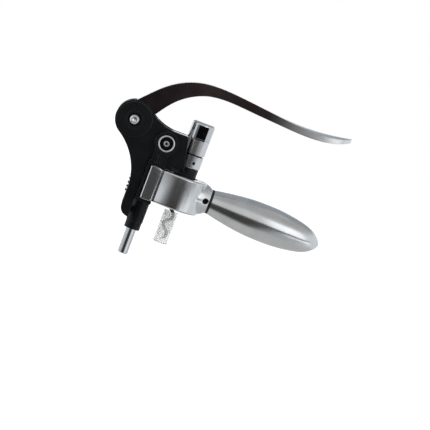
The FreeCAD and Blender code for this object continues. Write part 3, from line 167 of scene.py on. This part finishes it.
def edges(tree, normal, start=0.06, full=0.25):
    """0 on open faces and 1 on edges, from how far the rounded normal turns from the true one."""
    true = add(tree, "NewGeometry").outputs["Normal"]
    dot = add(tree, "VectorMath", {"operation": "DOT_PRODUCT"}, i0=normal, i1=true)
    return add(tree, "MapRange", {"interpolation_type": "SMOOTHSTEP"}, i0=dot.outputs["Value"],
               i1=1 - start, i2=1 - full, i3=0.0, i4=1.0).outputs[0]


def surface(tree, **sockets):
    """The last two nodes: a Principled shader and the output."""
    shader = add(tree, "BsdfPrincipled", **sockets)
    add(tree, "OutputMaterial", Surface=shader.outputs[0])
    return shader


# %% [markdown]
# ## Black powder-coated zinc
# The two side plates and the clamp bracket are zinc castings with a satin black powder coat.
# The coat is polyester, with an IOR of about 1.5. It flows into a fine orange peel, which breaks
# up its highlights. Its edges are painted slightly pale, as wear and as a painted highlight. The
# peel's spots are finer than a pixel of the picture and only show from close by. The specular
# level is under the usual 0.5, because this coat looks almost black in its shaded parts.

# %% Powder coat
PEEL_SPOTS = 0.45
COAT_CLOUDS = 9.0
COAT_EDGE_RADIUS = 0.5
COAT_WEAR_AND_HIGHLIGHT = 0.6


def powder_coat():
    """Near-black in soft clouds, paler where the rounded normal finds an edge, as wear and a
    painted highlight.
    """
    material, tree = new_material("powder_coated_zinc")
    peel = grain(tree, PEEL_SPOTS)
    clouds = grain(tree, COAT_CLOUDS)
    soft_edges = rounded(tree, COAT_EDGE_RADIUS)
    coat = ramp(tree, clouds, (0.3, "#06080a"), (0.7, "#0a0e11"))
    # wear and painted highlight: the edges are painted pale grey, #4a5157
    wear_and_highlight = edges(tree, soft_edges)
    colour = add(tree, "MixRGB", Fac=between(tree, wear_and_highlight, 0.0, COAT_WEAR_AND_HIGHLIGHT), Color1=coat,
                 Color2=linear("#4a5157"))
    bump = add(tree, "Bump", Strength=0.1, Distance=0.03 * MM, Height=peel, Normal=soft_edges)
    surface(tree, Base_Color=colour.outputs[0], IOR=1.5, Specular_IOR_Level=0.22,
            Normal=bump.outputs[0], Roughness=between(tree, clouds, 0.3, 0.38))
    return material


# %% [markdown]
# ## Satin nickel
# Jaws, carriage, collar and grips are blasted with fine beads and then nickel plated, so they
# mirror the room as soft bands. A metal needs only its colour, its roughness and a fine grain.
# The beads' pits are drawn about 0.25 mm wide, which is finer than a pixel of the picture, so
# they only blur the bands a little. Soft clouds keep large faces from looking printed. The
# collar's groove is painted near-black as painted shade, which sets it off from the ring above.

# %% Satin plating
BEAD_PITS = 0.25
PLATING_CLOUDS = 12.0
DULLED = 0.94
GROOVE_BOTTOM, GROOVE_TOP = 17.68, 18.92


def darker(hex_colour):
    """The same hue with each sRGB part multiplied by DULLED."""
    parts = [int(int(hex_colour[i:i + 2], 16) * DULLED) for i in (1, 3, 5)]
    return "#" + "".join("%02x" % part for part in parts)


def groove_shade_between(tree, low, high):
    """1 between two heights in mm in the object's own frame, and 0 elsewhere."""
    place = add(tree, "TexCoord").outputs["Object"]
    height = add(tree, "SeparateXYZ", Vector=place).outputs[2]
    above = add(tree, "Math", {"operation": "GREATER_THAN"}, i0=height, i1=low * MM).outputs[0]
    below = add(tree, "Math", {"operation": "LESS_THAN"}, i0=height, i1=high * MM).outputs[0]
    return add(tree, "Math", {"operation": "MULTIPLY"}, i0=above, i1=below).outputs[0]


def satin_nickel(name, colour, rough_low, rough_high, groove=None):
    """Plating in soft clouds. A groove is two heights in mm with painted shade, near-black and not
    metallic, between them.
    """
    material, tree = new_material(name)
    pits = grain(tree, BEAD_PITS)
    clouds = grain(tree, PLATING_CLOUDS)
    bump = add(tree, "Bump", Strength=0.04, Distance=0.002 * MM, Height=pits)
    plating = ramp(tree, clouds, (0.3, darker(colour)), (0.7, colour))
    metallic = 1.0
    if groove:
        # painted shade: near-black and not metallic in the collar's groove
        groove_shade = groove_shade_between(tree, *groove)
        plating = add(tree, "MixRGB", Fac=groove_shade, Color1=plating,
                      Color2=linear("#0b0b0c")).outputs[0]
        metallic = between(tree, groove_shade, 1.0, 0.0)
    surface(tree, Base_Color=plating, Metallic=metallic,
            Roughness=between(tree, clouds, rough_low, rough_high), Normal=bump.outputs[0])
    return material


# %% [markdown]
# ## The lever: pale metal, its flat sides painted dark
# The lever is one forging. Its flat sides are painted dark bronze-grey, as a painted dark
# reflection, while its top and its thumb paddle are polished paler. The mesh's own normal tells
# the two apart: its part along Y is near 1 on the sides and near 0 on top, whatever the pose,
# because it is read in the object's own frame. The painted dark fades out towards the paddle
# along X, and the edges are painted pale, as wear and as a painted highlight.

# %% Lever with painted dark sides
PADDLE_STARTS = 42.0
PADDLE_IS_PALE = 92.0
SIDE_FROM, SIDE_FULL = 0.6, 0.9
LEVER_EDGE_RADIUS = 0.4
LEVER_SCRATCHES = 2.5
LEVER_CLOUDS = 14.0
SPECKS = 1.1


def smooth_step(tree, value, start, end, **levels):
    """A smooth ramp of value, from 0 at start to 1 at end unless other levels are given."""
    return add(tree, "MapRange", {"interpolation_type": "SMOOTHSTEP"}, i0=value, i1=start, i2=end,
               **levels).outputs[0]


def lever_painted_shade():
    """Painted dark reflection = flat side times before the paddle, less the pale painted edges,
    never below 0.
    """
    material, tree = new_material("forged_lever_plating")
    coordinates = add(tree, "TexCoord")
    facing = add(tree, "SeparateXYZ", Vector=coordinates.outputs["Normal"]).outputs[1]
    sideways = add(tree, "Math", {"operation": "ABSOLUTE"}, i0=facing).outputs[0]
    flat_side = smooth_step(tree, sideways, SIDE_FROM, SIDE_FULL)
    along = add(tree, "SeparateXYZ", Vector=coordinates.outputs["Object"]).outputs[0]
    before_paddle = smooth_step(tree, along, PADDLE_STARTS * MM, PADDLE_IS_PALE * MM,
                                i3=1.0, i4=0.0)
    # painted dark reflection on the flat sides, fading out towards the paddle
    painted_dark_side = add(tree, "Math", {"operation": "MULTIPLY"}, i0=flat_side, i1=before_paddle).outputs[0]
    # edges painted pale: wear and a painted highlight
    worn_and_highlit_edges = edges(tree, rounded(tree, LEVER_EDGE_RADIUS), 0.02, 0.3)
    painted_dark_side = add(tree, "Math", {"operation": "SUBTRACT"}, i0=painted_dark_side, i1=worn_and_highlit_edges).outputs[0]
    kept = add(tree, "Math", {"operation": "MAXIMUM"}, i0=painted_dark_side, i1=0.0).outputs[0]
    scratches = grain(tree, LEVER_SCRATCHES, stretch=(0.1, 1, 1))
    clouds = grain(tree, LEVER_CLOUDS)
    side_colour = ramp(tree, clouds, (0.3, "#3a3133"), (0.7, "#4b4143"))
    top_colour = ramp(tree, scratches, (0.3, "#eceeef"), (0.7, "#f4f5f6"))
    specks = add(tree, "MapRange", i0=grain(tree, SPECKS), i1=0.73, i2=0.76).outputs[0]
    side_colour = add(tree, "MixRGB", Fac=specks, Color1=side_colour,
                      Color2=linear("#9b8f90")).outputs[0]
    colour = add(tree, "MixRGB", Fac=kept, Color1=top_colour, Color2=side_colour)
    surface(tree, Base_Color=colour.outputs[0], Metallic=1.0,
            Roughness=between(tree, scratches, 0.2, 0.24))
    return material


# %% [markdown]
# ## Bright metals
# Chrome is nearly a mirror. The rod and screws are turned steel, with a fine lathe finish that
# makes their roughness vary in rings. A lathe leaves rings about 0.1 mm apart, so they are drawn
# a little coarser. The bushes are sintered bronze, and the small screws have black oxide on them.
# The worm's head wears the same black as painted shade, to darken the gap where it shows.

# %% Chrome, turned steel and bronze
CHROME_CLOUDS = 3.0
LATHE_RINGS = 0.25
RING_STRETCH = (0.02, 0.02, 1)


def mirror_chrome():
    """Almost smooth plating, a little duller in soft clouds."""
    material, tree = new_material("mirror_chrome")
    surface(tree, Base_Color=linear("#d3d5d8"), Metallic=1.0,
            Roughness=between(tree, grain(tree, CHROME_CLOUDS), 0.02, 0.05))
    return material


def turned_metal(name, low, high, rough_low, rough_high):
    """Colour and roughness vary in fine rings along the piece's own height."""
    material, tree = new_material(name)
    rings = grain(tree, LATHE_RINGS, stretch=RING_STRETCH)
    surface(tree, Base_Color=ramp(tree, rings, (0.35, low), (0.65, high)), Metallic=1.0,
            Roughness=between(tree, rings, rough_low, rough_high))
    return material


# %% [markdown]
# ## Plastics and rubber
# The nut and washers are moulded acetal, the pads soft dark rubber, and the worm carries a
# smooth black non-stick coat. The sleeve is clear polyethylene, slightly milky from its mould,
# so part of its light passes and part is scattered. Real polyethylene has an IOR of 1.51. Here it
# is matched at 1.2: at 1.51 the sleeve looks greyer and the worm inside a little fainter.

# %% Plastics
SLEEVE_CLOUDS = 5.0


def moulded(name, low, high, rough_low, rough_high, spots=0.5, ior=1.48, bump_depth=0.02):
    """A plastic or rubber with fine spots, in mm, in its colour, roughness and height."""
    material, tree = new_material(name)
    texture = grain(tree, spots)
    bump = add(tree, "Bump", Strength=0.15, Distance=bump_depth * MM, Height=texture)
    surface(tree, Base_Color=ramp(tree, texture, (0.3, low), (0.7, high)), IOR=ior,
            Roughness=between(tree, texture, rough_low, rough_high), Normal=bump.outputs[0])
    return material


def frosted_sleeve():
    """Clear plastic that passes about three quarters of its light."""
    material, tree = new_material("frosted_polyethylene")
    clouds = grain(tree, SLEEVE_CLOUDS)
    surface(tree, Base_Color=ramp(tree, clouds, (0.3, "#dfe0e0"), (0.7, "#eceded")),
            Transmission_Weight=0.74, IOR=1.2, Roughness=between(tree, clouds, 0.02, 0.05))
    return material


# %% One material for each finish
BLACK = powder_coat()
SATIN = satin_nickel("satin_nickel_casting", "#e4e6e8", 0.18, 0.21)
COLLAR = satin_nickel("satin_nickel_collar", "#e4e6e8", 0.18, 0.21,
                      groove=(GROOVE_BOTTOM, GROOVE_TOP))
GRIPS = satin_nickel("satin_nickel_grip", "#e4e6e7", 0.19, 0.21)
LEVER = lever_painted_shade()
CHROME = mirror_chrome()
TRIM = turned_metal("polished_trim", "#e6e8ea", "#f0f1f2", 0.26, 0.32)
POLISHED = turned_metal("polished_steel", "#b9bcbf", "#cdd0d2", 0.1, 0.2)
STEEL = turned_metal("machined_steel", "#8d9093", "#a5a8ab", 0.25, 0.4)
BRONZE = turned_metal("sintered_bronze", "#8f7043", "#a5834f", 0.3, 0.45)
BLACK_OXIDE_AND_GAP_SHADE = turned_metal("black_oxide_and_gap_shade", "#1b1c1e", "#242628", 0.3, 0.42)
WORM_COAT = moulded("non_stick_coat", "#0c0d0f", "#141618", 0.18, 0.28, ior=1.5)
ACETAL = moulded("black_acetal", "#0b0c0d", "#131415", 0.35, 0.45)
RUBBER = moulded("dark_rubber", "#0e0d0c", "#1a1715", 0.6, 0.75, spots=0.8, bump_depth=0.06)
SLEEVE = frosted_sleeve()

# %% Which pieces wear which finish
FINISHES = {
    BLACK: ("side_plate_near", "side_plate_far", "clamp_bracket", "axle_bush_near",
            "axle_bush_far"),
    SATIN: ("carriage", "jaw_near", "jaw_far"),
    COLLAR: ("lower_collar",),
    GRIPS: ("grip_near", "grip_far"),
    LEVER: ("lever_arm",),
    CHROME: ("chrome_cap",),
    TRIM: ("boss_rings", "boss_eyelets", "axle_screw_near", "axle_screw_far"),
    POLISHED: ("guide_rod", "foot_screw"),
    STEEL: ("foot_spacer", "axle_pin", "jaw_pin_near", "jaw_pin_far", "drive_gear", "gear_dowels",
            "rack", "rack_pins", "thrust_ball"),
    BRONZE: ("guide_bush_upper", "guide_bush_lower", "head_bush"),
    # worm_head: black as painted shade in the gap where it shows
    BLACK_OXIDE_AND_GAP_SHADE: ("worm_head", "boss_screws", "rod_screw", "collar_grub_screw", "grip_screw_near",
                  "grip_screw_far"),
    WORM_COAT: ("worm",),
    ACETAL: ("worm_nut", "neck_washer_near", "neck_washer_far"),
    RUBBER: ("jaw_pad_near", "jaw_pad_far"),
    SLEEVE: ("worm_sleeve",),
}
for material, names in FINISHES.items():
    for name in names:
        NODES[name].data.materials.clear()
        NODES[name].data.materials.append(material)
bare = sorted(set(NODES) - {name for names in FINISHES.values() for name in names})
print("finishes:", len(FINISHES), "nodes without one:", bare)

# %% [markdown]
# ## Jaws with a cast ring
# Each jaw is cast as half a ring that meets a flat knuckle. The solid closes the ring's flank
# with a plane. The shading of the real one reads as a curve that turns in behind the knuckle,
# though how deep it goes is a guess, chosen by how the bands fall on it. So each jaw's mesh is
# copied, cut into narrow strips across the flank, and its outer skin is pressed in along an arc.
# The flank's slope starts at the plane's own angle and grows evenly towards the knuckle. Faces
# that meet at a small angle are shaded as one, and the neck takes a larger angle, because it was
# lofted through few sections and looks smooth on the real jaw.

# %% Cast jaws
FLANK_FRONT, FLANK_BACK = -3.75 * MM, -19.05 * MM
FLANK_START_ANGLE, FLANK_ADDED_ANGLE = math.radians(10.8), math.radians(20)
FLANK_STRIPS = 24
SKIN, SKIN_BLEND = 1.4 * MM, 3.0 * MM
FRONT_TOLERANCE = 0.05 * MM
ARC_STEPS = 60
WELD, CUT = 1e-6, 1e-7
SHARP, NECK_SHARP = math.radians(14), math.radians(50)
NECK_FROM = 17 * MM


def pressed_flank(points, front_skin):
    """Move points in towards the jaws' split by d(x), the integral of
    tan(start + added t) - tan(start) over x, with t from 0 at the front to 1 at the back."""
    steps = np.linspace(0, 1, ARC_STEPS)
    length = FLANK_FRONT - FLANK_BACK
    slope = np.tan(FLANK_START_ANGLE + FLANK_ADDED_ANGLE * steps) - math.tan(FLANK_START_ANGLE)
    areas = np.cumsum((slope[1:] + slope[:-1]) / 2)
    depth = np.concatenate(([0], areas)) * length / (ARC_STEPS - 1)
    t = (FLANK_FRONT - points[:, 0]) / length
    inside = (t > 0) & (points[:, 0] > FLANK_BACK)
    plane = front_skin - t * length * math.tan(FLANK_START_ANGLE)
    near_skin = np.clip((np.abs(points[:, 1]) - plane + SKIN + SKIN_BLEND) / SKIN_BLEND, 0, 1)
    move = np.interp(t, steps, depth) * near_skin * inside
    points[:, 1] -= np.sign(points[:, 1]) * move
    return points


def shade_cast(mesh, points):
    """Smooth shading, with an edge kept crisp where its faces turn by more than the angle."""
    mesh.shade_smooth()
    ends = np.empty(len(mesh.edges) * 2, int)
    mesh.edges.foreach_get("vertices", ends)
    in_neck = points[ends.reshape(-1, 2), 0].min(1) > NECK_FROM
    crisp = {}
    for angle in (NECK_SHARP, SHARP):
        mesh.set_sharp_from_angle(angle=angle)
        crisp[angle] = np.empty(len(mesh.edges), bool)
        mesh.edges.foreach_get("use_edge_sharp", crisp[angle])
    mesh.edges.foreach_set("use_edge_sharp", np.where(in_neck, crisp[NECK_SHARP], crisp[SHARP]))


def cut_into_strips(source, name):
    """A welded copy of a mesh, cut by planes across X at even steps along the flank."""
    bm = bmesh.new()
    bm.from_mesh(source.data)
    bm.transform(source.matrix_world)
    bmesh.ops.remove_doubles(bm, verts=bm.verts, dist=WELD)
    for x in np.linspace(FLANK_BACK, FLANK_FRONT, FLANK_STRIPS):
        everything = bm.verts[:] + bm.edges[:] + bm.faces[:]
        bmesh.ops.bisect_plane(bm, geom=everything, dist=CUT, plane_co=(x, 0, 0),
                               plane_no=(1, 0, 0))
    mesh = bpy.data.meshes.new(name)
    bm.to_mesh(mesh)
    bm.free()
    return mesh


def cast_jaw(node_name):
    """A welded copy of the jaw's mesh with a curved flank, which rides with the jaw's body."""
    mesh = cut_into_strips(NODES[node_name], node_name + "_cast")
    points = np.empty(len(mesh.vertices) * 3)
    mesh.vertices.foreach_get("co", points)
    points = points.reshape(-1, 3)
    front = np.abs(points[:, 0] - FLANK_FRONT) < FRONT_TOLERANCE
    pressed_flank(points, np.abs(points[front, 1]).max())
    mesh.vertices.foreach_set("co", points.ravel())
    mesh.update()
    shade_cast(mesh, points)
    mesh.materials.clear()
    mesh.materials.append(SATIN)
    jaw = bpy.data.objects.new(node_name + "_cast", mesh)
    bpy.context.scene.collection.objects.link(jaw)
    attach(jaw, node_name)
    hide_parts(node_name)
    print(jaw.name, len(mesh.polygons), "faces")


for jaw_name in ("jaw_near", "jaw_far"):
    cast_jaw(jaw_name)

# %% [markdown]
# ## The room that the metal mirrors
# Metal looks like what it mirrors, so the room matters more than the lamps. A real studio has a
# dark middle where the camera stands, a soft box beside it, pale walls and a grey ceiling. Here
# that room is one dome with a flat bottom, painted point by point: it starts with a level that
# only depends on the height, and then soft-edged patches are laid over it. The patches stand
# still while the camera moves. They were placed for the view from the front, by comparing
# the bands of light and dark on the metal with the photograph's. Some lie at the height that one
# piece mirrors, as a photographer sets cards and flags for one shot. The camera, the shadows and
# the plain paints don't see the dome. Only mirrors do.

# %% The stage's helpers


def grid_faces(rows, columns):
    """The four-cornered faces of a grid of rows by columns points, as one array."""
    corner = np.arange((rows - 1) * columns).reshape(rows - 1, columns)[:, :-1]
    above = corner + columns
    return np.stack((corner, corner + 1, above + 1, above), -1).reshape(-1, 4)


def stage_piece(name, points, faces, material, only_mirrors=True):
    """A piece of the studio, a mesh with one material, which only mirrors see unless told
    otherwise. A piece of the studio, which the export leaves out.
    """
    mesh = bpy.data.meshes.new(name)
    mesh.from_pydata(points.tolist(), [], faces.tolist())
    mesh.materials.append(material)
    piece = bpy.data.objects.new(name, mesh)
    bpy.context.scene.collection.objects.link(piece)
    if only_mirrors:
        piece.visible_camera = piece.visible_shadow = False
        piece.visible_diffuse = piece.visible_transmission = False
    return piece


def band(value, low, high, soft):
    """1 between low and high, 0 outside, with a smooth step as wide as soft at both ends."""
    rising = np.clip((value - low) / soft + 0.5, 0, 1)
    falling = np.clip((high - value) / soft + 0.5, 0, 1)
    return rising**2 * (3 - 2 * rising) * falling**2 * (3 - 2 * falling)


# %% The dome's levels and patches
LEVELS = (  # height in degrees and the plain brightness there
    (-90, 0.53), (-50, 0.5), (-25, 0.6), (-4, 0.82), (12, 0.9), (30, 0.72), (52, 0.44), (90, 0.42),
)
WARM_DARK = (0.048, 0.045, 0.042)
COOL_GREY = (0.33, 0.36, 0.39)
PATCHES = (  # turn from -Y towards +X, height, how soft each is, in degrees, and linear colour
    ((-130, -60), (-30, 35), (6, 6), (0.84, 0.87, 0.9)),         # pale wall at the left
    ((60, 140), (-30, 35), (10, 6), (0.72, 0.75, 0.78)),         # pale wall at the right
    ((-52, 12), (9, 36), (7, 14), (0.62, 0.64, 0.63)),           # lit wall above the camera
    ((16, 46), (-44, -3), (14, 8), (0.44, 0.46, 0.49)),          # its foot at the right
    ((-58, 17), (-50, 4), (13, 20), WARM_DARK),                  # dark room round the camera
    ((15, 46), (0.5, 36), (12, 8), (1.32, 1.34, 1.36)),          # soft box
    ((-100, -34), (-9.4, -4.4), (26, 1.5), (1.06, 1.08, 1.12)),  # pale card for the jaws, left
    ((2, 25), (-9.4, -4.4), (6, 1.5), WARM_DARK),                # dark card for the jaws
    ((25, 47), (-9.4, -4.4), (10, 1.5), (0.22, 0.23, 0.25)),     # grey card for the jaws, right
    ((-80, -42), (-16, -9.6), (6, 1.5), (0.66, 0.68, 0.69)),     # pale card for the rod, left
    ((28, 70), (-16, -9.6), (5, 1.5), (1.25, 1.26, 1.27)),       # pale card for the rod, right
    ((-50, 34), (-4.4, -2.2), (8, 0.8), (0.035, 0.037, 0.042)),  # dark flag for the collars
    ((-37, 63), (-2.6, 1.4), (2, 0.8), (0.004, 0.004, 0.005)),   # black flag for the cap
)
BACK_OF_ROOM = (115, 245, 20)
CEILING_HEIGHTS = (17, 140, 10)
BACKDROP_HEIGHTS = (-6, 15, 6)

# %% Paint the dome
TURN_STEP = 1.5
COARSE, FINE, MEDIUM = 3, 0.25, 2
FINE_FROM, FINE_TO = -15, 4
turns = np.arange(-180, 181, TURN_STEP)
heights = np.concatenate((np.arange(-90, FINE_FROM, COARSE), np.arange(FINE_FROM, FINE_TO, FINE),
                          np.arange(FINE_TO, 91, MEDIUM)))
turn, height = np.meshgrid(turns, heights)
paint = np.interp(height, *zip(*LEVELS))[..., None] * np.ones(3)
behind = band(np.abs(turn), *BACK_OF_ROOM)[..., None]
ceiling = band(height, *CEILING_HEIGHTS)[..., None]
backdrop = band(height, *BACKDROP_HEIGHTS)[..., None]
paint += behind * ceiling * (np.array(COOL_GREY) - paint)
paint += behind * backdrop * (1.0 - paint)
for turn_span, height_span, soft, colour in PATCHES:
    weight = band(turn, *turn_span, soft[0]) * band(height, *height_span, soft[1])
    paint += weight[..., None] * (np.array(colour) - paint)
print("paint:", turn.shape, "points, level", paint.min(), "to", paint.max())

# %% Shape the dome
# A sphere of radius DOME, where each point that would lie below the flat bottom is drawn in
# towards the middle until it lies on it: its distance is BOTTOM over the sine of its dip.
DOME = 1.0
BOTTOM = 0.2835
LEAST_SINE = 1e-3
FLOOR_LEVEL = -0.3
around, upwards = np.radians(turn), np.radians(height)
reach = np.minimum(DOME, BOTTOM / np.maximum(np.sin(-upwards), LEAST_SINE))
directions = np.stack((np.sin(around) * np.cos(upwards), -np.cos(around) * np.cos(upwards),
                       np.sin(upwards)), -1)
dome_points = (reach[..., None] * directions).reshape(-1, 3)
dome_paint, tree = new_material("painted_dome")
light = add(tree, "Emission", i0=add(tree, "Attribute", {"attribute_name": "glow"}).outputs[0])
add(tree, "OutputMaterial", Surface=light.outputs[0])
dome = stage_piece("mirror_room", dome_points, grid_faces(*turn.shape), dome_paint)
glow = dome.data.color_attributes.new("glow", "FLOAT_COLOR", "POINT")
rgba = np.column_stack((paint.reshape(-1, 3), np.ones(turn.size)))
glow.data.foreach_set("color", rgba.ravel())
print("dome:", len(dome_points), "points")

# %% [markdown]
# ## Floor, lamps and sky
# The tool stands in front of a white sweep. The floor and the sky are plain white paint to
# light, and full white to the camera and to mirrors, so the background is white while the lamps
# stay soft. Three wide lamps light the paints and plastics at a plain level.

# %% Floor, lamps and sky


def seen_as_white(tree):
    """1 for camera, mirror and see-through rays, 0 for every other ray."""
    path = add(tree, "LightPath")
    seen = path.outputs["Is Camera Ray"]
    for kind in ("Is Glossy Ray", "Is Transmission Ray"):
        maximum = add(tree, "Math", {"operation": "MAXIMUM"}, i0=seen, i1=path.outputs[kind])
        seen = maximum.outputs[0]
    return seen


WHITE = (1, 1, 1, 1)
FLOOR_SHINE = 0.75
SKY_AS_LIGHT, SKY_AS_SEEN = 0.45, 1.0
HALF_FLOOR = 6.0
white_sweep, tree = new_material("white_sweep")
paper = add(tree, "BsdfDiffuse", Color=linear("#f4f4f4"))
shine = add(tree, "Emission", Color=WHITE, Strength=FLOOR_SHINE)
lit_paper = add(tree, "AddShader", i0=paper.outputs[0], i1=shine.outputs[0])
sweep = add(tree, "MixShader", Fac=seen_as_white(tree), i1=paper.outputs[0],
            i2=lit_paper.outputs[0])
add(tree, "OutputMaterial", Surface=sweep.outputs[0])
corners = np.array([(-1, -1), (1, -1), (-1, 1), (1, 1)]) * HALF_FLOOR
floor_points = np.column_stack((corners, np.full(4, FLOOR_LEVEL)))
stage_piece("floor", floor_points, grid_faces(2, 2), white_sweep, only_mirrors=False)


def lamp(name, place, width, power):
    """A square area lamp in metres and watts that faces the middle and no mirror sees."""
    data = bpy.data.lights.new(name, "AREA")
    data.size = width
    data.energy = power
    piece = bpy.data.objects.new(name, data)
    piece.location = place
    piece.rotation_euler = (-Vector(place)).to_track_quat("-Z", "Y").to_euler()
    piece.visible_glossy = False
    bpy.context.scene.collection.objects.link(piece)


lamp("key_lamp", (-0.7, -0.9, 1.1), 0.9, 14)
lamp("fill_lamp", (1.0, -0.8, 0.5), 0.9, 7)
lamp("rim_lamp", (0.1, 1.0, 1.0), 0.8, 8)

world = bpy.data.worlds.new("white_world")
world.use_nodes = True
bpy.context.scene.world = world
world.node_tree.nodes.clear()
strength = between(world.node_tree, seen_as_white(world.node_tree), SKY_AS_LIGHT, SKY_AS_SEEN)
sky = add(world.node_tree, "Background", Color=WHITE, Strength=strength)
add(world.node_tree, "OutputWorld", Surface=sky.outputs[0])
bpy.context.scene.view_settings.view_transform = "Standard"
